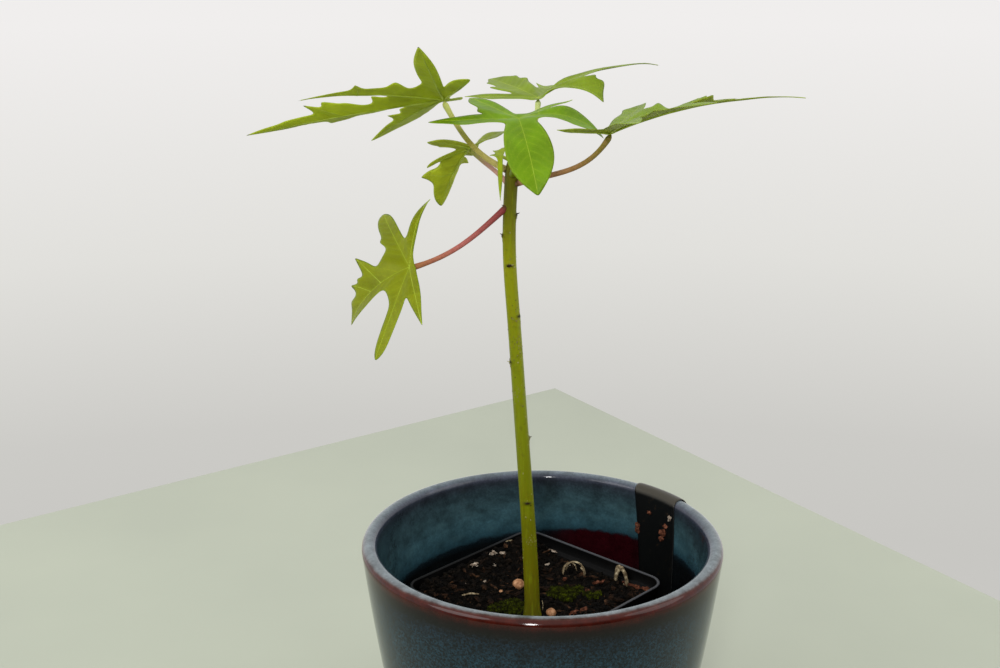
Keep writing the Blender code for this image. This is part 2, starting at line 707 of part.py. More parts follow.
def flat_blade(leaf, spacing, grow):
    """Points and triangles of the flat blade, with an edge along every midrib."""
    outline = blade_outline(leaf, spacing)
    points = grown(outline, grow) + [Vector((0.0, 0.0))]
    edges = []
    for lobe in leaf.lobes:
        steps = max(2, round(lobe.length * RIB_END / spacing))
        last = len(outline)
        for i in range(1, steps + 1):
            edges.append((last, len(points)))
            last = len(points)
            points.append(midrib_end(lobe) * RIB_END * i / steps)
    points += grid_points(leaf, outline, spacing)
    border = list(range(len(outline)))
    points, _, triangles, *_ = delaunay_2d_cdt(points, edges, [border], 1, MERGE)
    return [Vector(p) for p in points], [tuple(t) for t in triangles]


def blade_frame(leaf):
    """The blade's forward, left and up directions."""
    forward = slope_vector(leaf.heading, leaf.pitch)
    level = slope_vector(leaf.heading + 90, 0)
    up = forward.cross(level)
    roll = math.radians(leaf.roll)
    left = level * math.cos(roll) + up * math.sin(roll)
    return forward, left, forward.cross(left)


def bent_point(point, leaf, lobe, frame):
    """Where a flat point goes if it follows this lobe's bend."""
    forward, left, up = frame
    heading = heading_vector(lobe.heading)
    along = forward * heading.x + left * heading.y
    across = left * heading.x - forward * heading.y
    s = point.dot(heading)
    t = point.y * heading.x - point.x * heading.y
    lift, droop = math.radians(lobe.lift), math.radians(lobe.droop) / lobe.length
    slope = lift - droop * max(0.0, s)
    if s > 0 and lobe.droop:
        out = (math.sin(lift) - math.sin(slope)) / droop
        rise = (math.cos(slope) - math.cos(lift)) / droop
    else:
        out, rise = s * math.cos(lift), s * math.sin(lift)
    normal = up * math.cos(slope) - along * math.sin(slope)
    fold = (math.hypot(t, RIB_BLEND) - RIB_BLEND) * math.sin(FOLD)
    return heel_of(leaf) + along * out + up * rise + across * t * math.cos(FOLD) + normal * fold


def bend_blade(points, leaf):
    """Every flat point placed, a mix of the bends of the lobes near it."""
    frame = blade_frame(leaf)
    placed = []
    for point in points:
        total, weight = Vector((0, 0, 0)), 0.0
        for lobe in leaf.lobes:
            nearness = 1 / (rib_distance(point, lobe) ** 2 + RIB_BLEND ** 2) ** 2
            total += bent_point(point, leaf, lobe, frame) * nearness
            weight += nearness
        placed.append(total / weight)
    return placed


def blade_mesh(leaf, spacing, thick, grow=0.0):
    """The bent blade with its thickness, closed all round."""
    flat, triangles = flat_blade(leaf, spacing, grow)
    middle = bend_blade(flat, leaf)
    normals = [Vector((0, 0, 0)) for _ in middle]
    for a, b, c in triangles:
        n = (middle[b] - middle[a]).cross(middle[c] - middle[a])
        for i in (a, b, c):
            normals[i] += n
    top = [p + n.normalized() * thick / 2 for p, n in zip(middle, normals)]
    under = [p - n.normalized() * thick / 2 for p, n in zip(middle, normals)]
    count = len(middle)
    faces = triangles + [(c + count, b + count, a + count) for a, b, c in triangles]
    sides = [pair for t in triangles for pair in zip(t, t[1:] + t[:1])]
    both_ways = {(b, a) for a, b in sides}
    faces += [(b, a, a + count, b + count) for a, b in sides if (a, b) not in both_ways]
    return top + under, faces


def build_leaf(name, leaf):
    """A leaf's blade, and its petiole cut clear of the blade and the stem."""
    spacing = YOUNG_SPACING if name == "young" else BLADE_SPACING
    add_object("blade_" + name, *blade_mesh(leaf, spacing, BLADE_THICK), "blade")
    petiole = add_object("petiole_" + name, *petiole_mesh(leaf), "petiole")
    clear_stem = add_object("clear_stem", *stem_mesh(GAP), "stem")
    clear_blade = blade_mesh(leaf, spacing, BLADE_THICK + 2 * GAP, GAP)
    cut_away(petiole, (clear_stem, add_object("clear_blade", *clear_blade, "blade")))


def main():
    for old in list(bpy.data.objects):
        bpy.data.objects.remove(old)
    build_ceramic_pot()
    build_nursery_pot()
    build_soil()
    build_strap()
    build_stem()
    for name, leaf in LEAVES.items():
        build_leaf(name, leaf)


main()
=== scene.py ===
# %% [markdown]
# # A papaya seedling in two pots
#
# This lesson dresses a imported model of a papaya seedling. The plant grows in a square black
# nursery pot, which stands inside a round pot with a blue-green glaze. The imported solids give
# every place and size, and each cell makes finer meshes and finishes for one step.

# %% Load the frame
import math
from collections import namedtuple
from functools import partial

import bpy
import numpy as np
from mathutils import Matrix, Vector, noise
from mathutils.geometry import delaunay_2d_cdt


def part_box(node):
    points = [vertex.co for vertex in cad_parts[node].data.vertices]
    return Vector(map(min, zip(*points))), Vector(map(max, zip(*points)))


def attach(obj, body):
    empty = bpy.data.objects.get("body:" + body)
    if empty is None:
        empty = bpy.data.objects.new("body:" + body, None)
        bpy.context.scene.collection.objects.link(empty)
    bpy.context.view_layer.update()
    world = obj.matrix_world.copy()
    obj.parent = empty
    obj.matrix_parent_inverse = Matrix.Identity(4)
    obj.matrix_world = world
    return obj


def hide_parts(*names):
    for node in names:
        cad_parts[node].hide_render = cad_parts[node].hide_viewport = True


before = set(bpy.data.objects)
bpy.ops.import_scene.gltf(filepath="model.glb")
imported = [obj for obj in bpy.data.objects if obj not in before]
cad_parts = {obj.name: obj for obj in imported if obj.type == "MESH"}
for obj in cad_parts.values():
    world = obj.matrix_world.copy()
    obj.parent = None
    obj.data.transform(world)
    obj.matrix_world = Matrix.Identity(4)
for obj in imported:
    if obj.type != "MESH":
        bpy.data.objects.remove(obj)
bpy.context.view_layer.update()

# %% [markdown]
# ## Helpers
#
# A colour is written as the hex value that a picture editor shows, and one function turns it into
# the linear light that shaders work in. Another adds a node with its settings and its links, for
# materials and Geometry Nodes alike, so each tree below reads as a list of what flows into what.

# %% Colours and nodes
MM = 0.001


def linear(hex_colour):
    """A plain sRGB hex value as linear red, green, blue and alpha."""
    parts = [int(hex_colour[i:i + 2], 16) / 255 for i in (1, 3, 5)]
    return [p / 12.92 if p <= 0.04045 else ((p + 0.055) / 1.055) ** 2.4 for p in parts] + [1.0]


def feed(node, *values, **named):
    """Fills inputs, in order or by name, from a node, a socket, a hex colour or a plain value."""
    live = [socket for socket in node.inputs if socket.enabled]
    by_name = [(node.inputs[key.replace("_", " ")], value) for key, value in named.items()]
    for socket, value in [*zip(live, values), *by_name]:
        if isinstance(value, bpy.types.Node):
            value = next(output for output in value.outputs if output.enabled)
        if isinstance(value, bpy.types.NodeSocket):
            node.id_data.links.new(value, socket)
        else:
            socket.default_value = linear(value) if str(value).startswith("#") else value


def add_node(tree, kind, *values, stops=None, **named):
    """A node with its inputs, in order or by capitalised name, and its settings in small letters."""
    node = tree.nodes.new(kind if "Node" in kind else "ShaderNode" + kind)
    for setting in [name for name in named if name[0].islower()]:
        setattr(node, setting, named.pop(setting))
    feed(node, *values, **named)
    if stops:
        ramp = node.color_ramp.elements
        ramp[1].position = stops[-1][0]
        ramp[0].position = stops[0][0]
        for place, _ in stops[1:-1]:
            ramp.new(place)
        for element, (_, colour) in zip(ramp, stops):
            element.color = linear(colour)
    return node


def new_material(name, **sockets):
    """A material, what adds nodes to it, its shader with these constants, and the place socket."""
    material = bpy.data.materials.new(name)
    material.use_nodes = True
    shader = material.node_tree.nodes["Principled BSDF"]
    feed(shader, **sockets)
    node = partial(add_node, material.node_tree)
    return material, node, shader, node("TexCoord").outputs["Object"]


def grainy_material(name, grain, stops, detail=3.0, rough=0.5, bump=None, **sockets):
    """A material whose colour follows noise of one grain size, and its bumps if it has any."""
    material, node, shader, place = new_material(name, **sockets)
    cells = node("TexNoise", Vector=place, Scale=1 / grain, Detail=detail, Roughness=rough)
    feed(shader, Base_Color=node("ValToRGB", cells, stops=stops))
    if bump:
        feed(shader, Normal=node("Bump", Height=cells, Strength=bump[0], Distance=bump[1]))
    return material


def new_tree(name, **inputs):
    """A Geometry Nodes tree with named inputs, what adds nodes to it, and its input sockets."""
    tree = bpy.data.node_groups.new(name, "GeometryNodeTree")
    for title, kind in {"Geometry": "Geometry", **inputs}.items():
        tree.interface.new_socket(title.replace("_", " "), in_out="INPUT",
                                  socket_type="NodeSocket" + kind)
    tree.interface.new_socket("Geometry", in_out="OUTPUT", socket_type="NodeSocketGeometry")
    return tree, partial(add_node, tree), add_node(tree, "NodeGroupInput").outputs


print("helpers ready")

# %% [markdown]
# Every piece is a mesh in metres, with its object at the origin. One function makes it, and one
# sets what it rides on, hides the solid that it stands for and prints which finish it takes. The
# plant has no joints, so every piece rides on the one body, root.

# %% Pieces
def add_object(name, data):
    thing = bpy.data.objects.new(name, data)
    bpy.context.scene.collection.objects.link(thing)
    return thing


def add_piece(name, points, faces, materials, face_materials=None):
    mesh = bpy.data.meshes.new(name)
    mesh.from_pydata([tuple(p) for p in points], [], faces)
    for material in materials:
        mesh.materials.append(material)
    if face_materials is not None:
        mesh.polygons.foreach_set("material_index", np.asarray(face_materials, dtype=np.int32))
    mesh.shade_smooth()
    return add_object(name, mesh)


def set_attribute(piece, name, values):
    """One number for each point of a piece, for its material to read."""
    layer = piece.data.attributes.new(name, "FLOAT", "POINT")
    layer.data.foreach_set("value", np.asarray(values, dtype=np.float32))


def seat(piece, slot, *nodes):
    """The piece rides on the root body and hides the solids that it stands for; its slot is printed."""
    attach(piece, "root")
    if nodes:
        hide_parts(*nodes)
    print(piece.name, len(piece.data.polygons), "faces, slot", slot)


def skin(rings):
    """Faces over rings of equal count, closed at both ends by a fan of triangles."""
    count = len(rings[0])
    points = [p for ring in rings for p in ring]
    faces = []
    for k in range(len(rings) - 1):
        for i in range(count):
            j = (i + 1) % count
            faces.append((k * count + i, k * count + j, (k + 1) * count + j, (k + 1) * count + i))
    for end, order in ((0, -1), (len(rings) - 1, 1)):
        points.append(np.mean(rings[end], axis=0))
        for i in range(count):
            pair = (end * count + i, end * count + (i + 1) % count)
            faces.append((len(points) - 1, *pair[::order]))
    return points, faces


def arc(centre, radius, start, end, steps):
    """Points in a plane on an arc, angles in degrees."""
    angles = np.radians(np.linspace(start, end, steps + 1))
    return [(centre[0] + radius * math.cos(a), centre[1] + radius * math.sin(a)) for a in angles]


def full_turn(count):
    """Even angles all the way round."""
    return np.linspace(0, 2 * math.pi, count, endpoint=False)


def ring_at(radius, angles, height, centre=(0.0, 0.0)):
    """Points round an upright axis."""
    return np.stack((centre[0] + radius * np.cos(angles), centre[1] + radius * np.sin(angles),
                     np.full(len(angles), height)), axis=1)


def walked(line):
    """How far along a line each of its points lies."""
    return np.concatenate(([0.0], np.cumsum(np.hypot.reduce(np.diff(line, axis=0), axis=1))))


def spots_along(line, places):
    """The points at some distances along a line."""
    return np.stack([np.interp(places, walked(line), values) for values in line.T], axis=1)


# %% [markdown]
# ## The camera
#
# The camera stands where the photographer stood, looking down by about 16 degrees. It comes
# first, so that every later step can be looked at through it.

# %% Camera
CAMERA_PLACE = (-0.0163, -0.4961, 0.3342)
CAMERA_DOWN = math.radians(16.22)

lens = bpy.data.cameras.new("camera")
lens.lens = 50
lens.sensor_width = 36
camera = add_object("camera", lens)
camera.location = CAMERA_PLACE
camera.rotation_euler = (math.pi / 2 - CAMERA_DOWN, 0, 0)
bpy.context.scene.camera = camera
# The plain display curve keeps the leaves' strong greens, which the filmic one would fade
bpy.context.scene.view_settings.view_transform = "Standard"
print("camera is", round(Vector(CAMERA_PLACE).length, 3), "m from the pot's foot")

# %% [markdown]
# ## The glazed pot
#
# The real pot is stoneware, turned on a wheel and dipped in a reactive glaze that fires red-brown
# where it runs thin and speckled blue-green where it lies thick. A turned pot is one profile swung
# round an axis, so the script walks up the outside, over the lip and down the inside, with faint
# throwing ridges on the inner wall and a foot ring below.

# %% Pot profile
POT_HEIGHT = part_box("ceramic_pot")[1][2]
RIM_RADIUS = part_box("ceramic_pot")[1][0]
POT_WALL = 6 * MM
POT_FLOOR = 8 * MM
RIM_LEVEL = POT_HEIGHT - POT_WALL / 2     # height at which the pot is widest
WALL_LEAN = 0.12                          # how fast the wall comes in below the rim
WALL_CURVE = 0.54                         # and how much faster further down, per metre
FOOT_ROUND = 5 * MM
FOOT_RING = 4 * MM                        # width of the ring that the pot stands on
FOOT_HOLLOW = 1.2 * MM
THROWING_PITCH = 3.4 * MM
THROWING_DEPTH = 0.06 * MM
POT_SEGMENTS = 224
WALL_ROWS = 90
FOOT_STEPS = 8
LIP_STEPS = 20


def wall_radius(height):
    """Outer radius of the pot at a height."""
    depth = RIM_LEVEL - height
    return RIM_RADIUS - WALL_LEAN * depth - WALL_CURVE * depth * depth


def lip_arc(clearance, steps):
    """The half round over the rim, from outside to inside."""
    return arc((RIM_RADIUS - POT_WALL / 2, RIM_LEVEL), POT_WALL / 2 + clearance, 0, 180, steps)


def pot_profile():
    """Radius and height from the middle of the underside round to the middle of the floor."""
    foot = wall_radius(FOOT_ROUND)
    inner_foot = foot - FOOT_ROUND / 2 - FOOT_RING
    profile = [(inner_foot - 2 * MM, FOOT_HOLLOW), (inner_foot - 0.5 * MM, FOOT_HOLLOW * 0.8)]
    profile += [(inner_foot, 0.3 * MM), (inner_foot + 0.4 * MM, 0.0), (foot - FOOT_ROUND * 0.8, 0.0)]
    profile += arc((foot - FOOT_ROUND, FOOT_ROUND), FOOT_ROUND, -70, 0, FOOT_STEPS)
    heights = np.linspace(FOOT_ROUND, RIM_LEVEL, WALL_ROWS)
    profile += [(wall_radius(z), z) for z in heights[1:-1]]
    lip_start = len(profile)
    profile += lip_arc(0.0, LIP_STEPS)
    for z in heights[::-1][1:]:
        ripple = THROWING_DEPTH * math.sin(2 * math.pi * z / THROWING_PITCH)
        if z > POT_FLOOR + FOOT_ROUND:
            profile.append((wall_radius(z) - POT_WALL + ripple, z))
    corner = (profile[-1][0] - FOOT_ROUND, POT_FLOOR + FOOT_ROUND)
    profile += arc(corner, FOOT_ROUND, 0, -90, FOOT_STEPS)[1:]
    return np.array(profile), lip_start + LIP_STEPS // 2


profile, crest = pot_profile()
from_crest = walked(profile) - walked(profile)[crest]     # negative outside, positive inside
print("pot profile", len(profile), "points")

# %% [markdown]
# The glaze is one material. Its bands follow the distance from the lip's crest, which it reads
# from an attribute of the mesh: red-brown on the outer lip, a blue-grey bloom on top that is partly
# painted reflection, then purple-grey and teal down the inside, near black low inside as painted
# shade in the gap between the pots, and dark red-brown where the glaze pools, darkened there as
# painted shade too. Noise frays them.

# %% Reactive glaze
SPECK_SIZE = 1.0 * MM
CLOUD_SIZE = 6 * MM
DRIP_SIZE = 11 * MM
BAND_LOW = -60 * MM
BAND_HIGH = 90 * MM
# The glaze pools dark red low inside, darkened further there as painted shade
POOL_AZIMUTH = math.radians(62)           # where the dark red glaze shows inside
# Bloom bands from -0.6 to 3.2 mm are partly painted reflection; 29.6 mm on is painted shade
GLAZE_AND_PAINTED_LIGHT_BANDS = (                           # mm from the crest, negative outside, and the colour there
    (-58, "#14272e"), (-20, "#0c1d25"), (-12, "#07121a"), (-9, "#060708"), (-6.6, "#0d0202"),
    (-4.8, "#280703"), (-1.7, "#3a1007"), (-1.2, "#40302c"), (-0.6, "#5f6467"), (1.4, "#5f686c"),
    (3.2, "#50585f"), (4.8, "#383b47"), (6.6, "#23282f"), (10, "#233035"), (15, "#283b40"),
    (22, "#2a434a"), (28.2, "#1d343c"), (29.6, "#0c1418"), (32, "#07090a"))

glaze, node, shader, place = new_material("reactive_glaze_on_stoneware", Roughness=0.08, IOR=1.5,
                                          Specular_IOR_Level=0.26)
distance = node("Attribute", attribute_name="from_crest").outputs["Fac"]
fray = node("TexNoise", Vector=place, Scale=1 / CLOUD_SIZE, Detail=6.0, Roughness=0.6)
centred = node("Math", fray, 0.5, operation="SUBTRACT")
fray_reach = node("MapRange", distance, 1 * MM, 14 * MM, 1.4 * MM, 4 * MM)
rough_edge = node("Math", centred, fray_reach, distance, operation="MULTIPLY_ADD")
around = node("VectorMath", place, (1, 1, 0), operation="MULTIPLY")
outwards = node("VectorMath", around, operation="NORMALIZE")
compass = node("SeparateXYZ", outwards).outputs
# The dark glaze and the painted shade below it stand higher on the right inside, and the
# bloom, partly painted reflection, reaches less far over the front
tilt = node("MapRange", distance, 8 * MM, 20 * MM, 0.0, 5 * MM)
tilted = node("Math", compass["X"], tilt, rough_edge, operation="MULTIPLY_ADD")
painted_reflection_shift = node("MapRange", compass["Y"], -0.95, -0.2, 0.0, 1.8 * MM)
frayed = node("Math", tilted, painted_reflection_shift, operation="ADD")
spread = node("MapRange", frayed, BAND_LOW, BAND_HIGH)
bands = node("ValToRGB", spread, stops=[
    ((from_lip * MM - BAND_LOW) / (BAND_HIGH - BAND_LOW), colour) for from_lip, colour in GLAZE_AND_PAINTED_LIGHT_BANDS])
# Pooling glaze at the back right, deep inside, darkened as painted shade in the gap between the pots
poolwards = node("VectorMath", outwards, (math.cos(POOL_AZIMUTH), math.sin(POOL_AZIMUTH), 0),
                 operation="DOT_PRODUCT")
in_pool = node("MapRange", poolwards, 0.90, 0.98)
deep = node("MapRange", frayed, 28.6 * MM, 30 * MM)
pool_and_shade_share = node("Math", in_pool, deep, operation="MULTIPLY")
pooled_glaze_and_shade = node("Mix", pool_and_shade_share, bands, "#1c0306", data_type="RGBA")
clouds = node("MapRange", fray, 0.3, 0.7, 0.65, 1.45)
grit = node("TexNoise", Vector=place, Scale=1 / SPECK_SIZE, Detail=3.0, Roughness=0.8)
speckle = node("MapRange", grit, 0.43, 0.61, 0.35, 2.8)
off_lip = node("MapRange", distance, -7 * MM, -10 * MM, 0.12, 0.9)
speck_share = node("Mix", off_lip, 1.0, speckle)
strength = node("Math", clouds, speck_share, operation="MULTIPLY")
mottled = node("VectorMath", pooled_glaze_and_shade, strength, operation="SCALE")
drips_place = node("Mapping", Vector=place, Scale=(1, 1, 2.2))
drips = node("TexNoise", Vector=drips_place, Scale=1 / DRIP_SIZE, Detail=6.0, Roughness=0.65)
above_pool = node("MapRange", frayed, 24 * MM, 28 * MM, 0.5, 0.0)
inner_only = node("MapRange", distance, 8 * MM, 14 * MM, 0.0, above_pool)
drip_share = node("MapRange", drips, 0.5, 0.68, 0.0, inner_only)
runny = node("Mix", drip_share, mottled, "#3a555a", data_type="RGBA")
orange_peel = node("Bump", Height=fray, Strength=0.2, Distance=0.12 * MM)
feed(shader, Base_Color=runny, Normal=orange_peel)

# Unglazed clay of the foot ring and the underside
bare_clay = grainy_material("bare_stoneware", 1.5 * MM, (
    (0.35, "#6d5242"), (0.55, "#8a6d58"), (0.75, "#a0846c")), detail=4.0, Roughness=0.85, IOR=1.5)
print(len(GLAZE_AND_PAINTED_LIGHT_BANDS), "glaze bands")

# %% Turn the pot
HAND_THROWN = 0.12 * MM                   # how far the wall wanders from a true circle
GLAZE_EDGE = 4.0 * MM                     # the glaze stops this high above the foot

turns = full_turn(POT_SEGMENTS)
rings = []
for radius, height in profile:
    wander = HAND_THROWN * np.sin(2 * turns + 40 * height) * min(1.0, radius / RIM_RADIUS)
    rings.append(ring_at(radius + wander - HAND_THROWN, turns, height))
points, faces = skin(rings)
bare = [max(points[i][2] for i in face) < GLAZE_EDGE and from_crest[min(face[-1] // POT_SEGMENTS,
        len(profile) - 1)] < 0 for face in faces]
pot = add_piece("glazed_pot", points, faces, (glaze, bare_clay), bare)
set_attribute(pot, "from_crest", np.append(np.repeat(from_crest, POT_SEGMENTS),
                                           (from_crest[0], from_crest[-1])))
seat(pot, "reactive_glaze", "ceramic_pot")

# %% [markdown]
# ## The nursery pot
#
# A nursery pot is thin black polypropylene, moulded in one piece. Its square wall leans out and
# steps out again to a band under the rim. It is built like the round pot, with rings that are
# squares with rounded corners, and small arcs round the rim, where it catches light.

# %% Nursery pot
NURSERY_CENTRE = (-2.5 * MM, 0.5 * MM)
NURSERY_TURN = math.radians(46.8)
NURSERY_LOW, NURSERY_TOP = (corner[2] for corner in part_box("nursery_pot"))
NURSERY_TOP_SIDE = 71 * MM
NURSERY_FOOT_SIDE = 50 * MM
NURSERY_WALL = 1.2 * MM
NURSERY_LIP = 1.5 * MM
NURSERY_LIP_DEPTH = 6 * MM
CORNER_ROUND = 6 * MM
CORNER_STEPS = 12
RIM_ROUND = 0.45 * MM
RIM_STEPS = 5
SQUARE_POINTS = 200


def square_ring(side, height, corner):
    """Evenly spaced points round a square with rounded corners, turned as the nursery pot is."""
    half = side / 2 - corner
    outline = []
    for quarter in range(4):
        a = math.radians(45 + 90 * quarter)
        centre = (math.copysign(half, math.cos(a)), math.copysign(half, math.sin(a)))
        outline += arc(centre, corner, 90 * quarter, 90 * quarter + 90, CORNER_STEPS)
    outline = np.array(outline + outline[:1])
    even = np.linspace(0, walked(outline)[-1], SQUARE_POINTS, endpoint=False)
    x, y = spots_along(outline, even).T
    cos, sin = math.cos(NURSERY_TURN), math.sin(NURSERY_TURN)
    return np.stack((NURSERY_CENTRE[0] + x * cos - y * sin, NURSERY_CENTRE[1] + x * sin + y * cos,
                     np.full(SQUARE_POINTS, height)), axis=1)


def nursery_side(height):
    """Outer side of the nursery pot's wall at a height."""
    share = (height - NURSERY_LOW) / (NURSERY_TOP - NURSERY_LOW)
    return NURSERY_FOOT_SIDE + (NURSERY_TOP_SIDE - NURSERY_FOOT_SIDE) * share


def nursery_profile():
    """How far out from the leaning wall, and how high, from the foot round to the floor."""
    step = NURSERY_TOP - NURSERY_LIP_DEPTH
    inner = NURSERY_LIP - NURSERY_WALL
    run = [(-1.0 * MM, NURSERY_LOW), (0.0, NURSERY_LOW + 1.0 * MM)]
    run += [(0.0, z) for z in np.linspace(NURSERY_LOW + 6 * MM, step - 0.6 * MM, 8)]
    run += [(0.3 * MM, step), (NURSERY_LIP - 0.3 * MM, step + 0.1 * MM)]
    run += [(NURSERY_LIP, step + 0.5 * MM), (NURSERY_LIP, NURSERY_TOP - 2 * MM)]
    run += arc((NURSERY_LIP - RIM_ROUND, NURSERY_TOP - RIM_ROUND), RIM_ROUND, 0, 90, RIM_STEPS)
    run += arc((inner + RIM_ROUND, NURSERY_TOP - RIM_ROUND), RIM_ROUND, 90, 180, RIM_STEPS)
    ledge = step + NURSERY_WALL
    run += [(inner, ledge + 0.6 * MM), (inner - 0.4 * MM, ledge + 0.1 * MM)]
    run += [(-NURSERY_WALL + 0.5 * MM, ledge), (-NURSERY_WALL, ledge - 0.5 * MM)]
    run += [(-NURSERY_WALL, z) for z in np.linspace(ledge - 6 * MM, NURSERY_LOW + 2.5 * MM, 6)]
    run += [(-NURSERY_WALL - 1.0 * MM, NURSERY_LOW + NURSERY_WALL)]
    return run


polypropylene, node, shader, place = new_material("moulded_black_polypropylene", Roughness=0.36,
                                                  IOR=1.49, Specular_IOR_Level=0.07)
dust = node("TexNoise", Vector=place, Scale=1 / (6 * MM), Detail=8.0, Roughness=0.75)
dusty = node("ValToRGB", dust, stops=((0.50, "#040404"), (0.64, "#080706"), (0.78, "#15110d")))
spot = node("SeparateXYZ", place).outputs
# Painted highlight: the rim's top edge turns grey, most on the right, where it catches the light
highlight_rightwards = node("MapRange", spot["X"], -22 * MM, 8 * MM, 0.05, 0.8)
highlight_share = node("MapRange", spot["Z"], NURSERY_TOP - 0.5 * MM, NURSERY_TOP - 0.1 * MM, 0.0, highlight_rightwards)
rim_painted_highlight = node("Mix", highlight_share, dusty, "#46474a", data_type="RGBA")
grain = node("Bump", Height=dust, Strength=0.3, Distance=0.1 * MM)
feed(shader, Base_Color=rim_painted_highlight, Normal=grain)

rings = [square_ring(nursery_side(z) + 2 * out, z, max(CORNER_ROUND + out, MM))
         for out, z in nursery_profile()]
nursery = add_piece("nursery_pot_shell", *skin(rings), (polypropylene,))
seat(nursery, "nursery_plastic", "nursery_pot")

# %% [markdown]
# ## The strap
#
# A thin black plastic strap hooks over the glazed rim at the back right and hangs down inside. It
# follows the pot's own profile with a small clearance and swings a little aside as it hangs.

# %% Strap
GAP = 0.3 * MM
STRAP_AZIMUTH = math.radians(40.5)
STRAP_SPREAD = math.radians(20.5)
STRAP_LEAN = 3.4
STRAP_THICK = 0.5 * MM
STRAP_CLEARANCE = 0.15 * MM
STRAP_OUTSIDE = 10 * MM
STRAP_INSIDE = 70 * MM
STRAP_COLUMNS = 36


def strap_path(clearance):
    """The strap's run from outside the pot over its rim and down inside, as radius and height."""
    low = RIM_LEVEL - STRAP_OUTSIDE
    path = [(wall_radius(z) + clearance, z) for z in np.linspace(low, RIM_LEVEL, 9)[:-1]]
    path += lip_arc(clearance, 16)
    heights = np.linspace(RIM_LEVEL, RIM_LEVEL - STRAP_INSIDE, 60)[1:]
    path += [(wall_radius(z) - POT_WALL - clearance, z) for z in heights]
    return np.array(path)


def strap_grid(side):
    """The strap's face away from the pot (1) or against it (-1), rounded off at its edges."""
    to_middle = STRAP_CLEARANCE + STRAP_THICK / 2
    middle = strap_path(to_middle)
    outer = strap_path(to_middle + STRAP_THICK / 2)
    across = np.linspace(-1, 1, STRAP_COLUMNS + 1)
    along = np.linspace(-1, 1, len(middle))
    grid = []
    for k, (base, edge) in enumerate(zip(middle, outer)):
        round_off = np.sqrt(np.maximum(0, 1 - np.abs(across) ** 10) * max(0, 1 - abs(along[k]) ** 60))
        radius = base[0] + side * (edge[0] - base[0]) * round_off
        height = base[1] + side * (edge[1] - base[1]) * round_off
        angle = STRAP_AZIMUTH + STRAP_SPREAD / 2 * across - STRAP_LEAN * (POT_HEIGHT - base[1])
        grid.append(ring_at(radius, angle, height))
    return grid


strap_skin, node, shader, place = new_material("black_plastic_strap", Roughness=0.35, IOR=1.5,
                                               Specular_IOR_Level=0.25)
smear = node("TexNoise", Vector=place, Scale=1 / (2.6 * MM), Detail=5.0, Roughness=0.7)
specks = node("ValToRGB", smear, stops=(
    (0.58, "#060707"), (0.64, "#12100c"), (0.70, "#2c2018"), (0.77, "#5d4f40")))
up = node("SeparateXYZ", place).outputs["Z"]
# Over the rim the strap turns a lighter brown, partly its own brownish tone there and partly painted
# sheen
rim_tone_and_sheen = node("MapRange", up, POT_HEIGHT - 2.5 * MM, POT_HEIGHT - 1 * MM, 0.0, 0.9)
feed(shader, Base_Color=node("Mix", rim_tone_and_sheen, specks, "#3b372e", data_type="RGBA"))

rings = [np.concatenate((a, b[::-1][1:-1])) for a, b in zip(strap_grid(1), strap_grid(-1))]
strap = add_piece("hanging_strap", *skin(rings[::-1]), (strap_skin,))
seat(strap, "strap_plastic", "strap")

# %% [markdown]
# ## The soil
#
# Potting mix is peat, bark and a few fertiliser grains, dark because it is damp. A fine surface
# gives its lumps, and Geometry Nodes scatter crumbs and fibres over it, because hundreds of bits
# at random angles make soil look loose rather than like dough.

# %% Soil surface
STEM_FOOT = (-3.8 * MM, -9.0 * MM)
SOIL_LEVEL = 78.5 * MM
SOIL_DISH = 3.2 * MM
SOIL_BUMP = 1.0 * MM
CLODS = 1.1 * MM                          # height of the rough lumps of 7 mm
CRUMBLE = 0.5 * MM                        # and of the fine ones of 2.2 mm
LUMP_PITCH = 13 * MM
FINE_LUMP_PITCH = 5.5 * MM
STEM_SEAT = 9 * MM
SOIL_BANK = 6.0 * MM                      # how much higher it is heaped at the back left
BANK_AZIMUTH = math.radians(135)
BANK_START = 12 * MM
BANK_REACH = 24 * MM
SOIL_FLOOR = NURSERY_LOW + NURSERY_WALL + GAP
SOIL_INSET = NURSERY_WALL + GAP
SOIL_RINGS = 70


def from_stem(x, y):
    return np.hypot(x - STEM_FOOT[0], y - STEM_FOOT[1])


def soil_height(x, y, share):
    """Lumpy surface of the soil; share is 0 at the stem and 1 at the nursery pot's wall."""
    away = min(1.0, max(0.0, from_stem(x, y) / STEM_SEAT - 1.0))
    coarse = 2 * math.pi / LUMP_PITCH
    fine = 2 * math.pi / FINE_LUMP_PITCH
    lumps = (math.sin(x * coarse) * math.cos(y * coarse) + math.sin((x + y) * fine) / 2) / 1.5
    level = SOIL_LEVEL + away * (SOIL_DISH * share + SOIL_BUMP * (1 - share) * lumps)
    backwards = x * math.cos(BANK_AZIMUTH) + y * math.sin(BANK_AZIMUTH)
    bank = SOIL_BANK * min(1.0, max(0.0, (backwards - BANK_START) / BANK_REACH)) ** 2
    clods = noise.fractal(Vector((x, y, 0)) / (7 * MM), 0.8, 2.1, 3)
    crumbs = noise.fractal(Vector((x, y, 1)) / (2.2 * MM), 0.6, 2.1, 3)
    return level + bank + CLODS * clods + CRUMBLE * crumbs


soil_rim = SOIL_LEVEL + SOIL_DISH
edge = square_ring(nursery_side(soil_rim) - 2 * SOIL_INSET, soil_rim, CORNER_ROUND - SOIL_INSET)
rings = [square_ring(nursery_side(SOIL_FLOOR) - 2 * SOIL_INSET, SOIL_FLOOR, CORNER_ROUND - SOIL_INSET)]
for share in np.linspace(1, 0, SOIL_RINGS, endpoint=False):
    spot = np.array(STEM_FOOT) + (edge[:, :2] - np.array(STEM_FOOT)) * share
    rings.append(np.array([(x, y, soil_height(x, y, share)) for x, y in spot]))

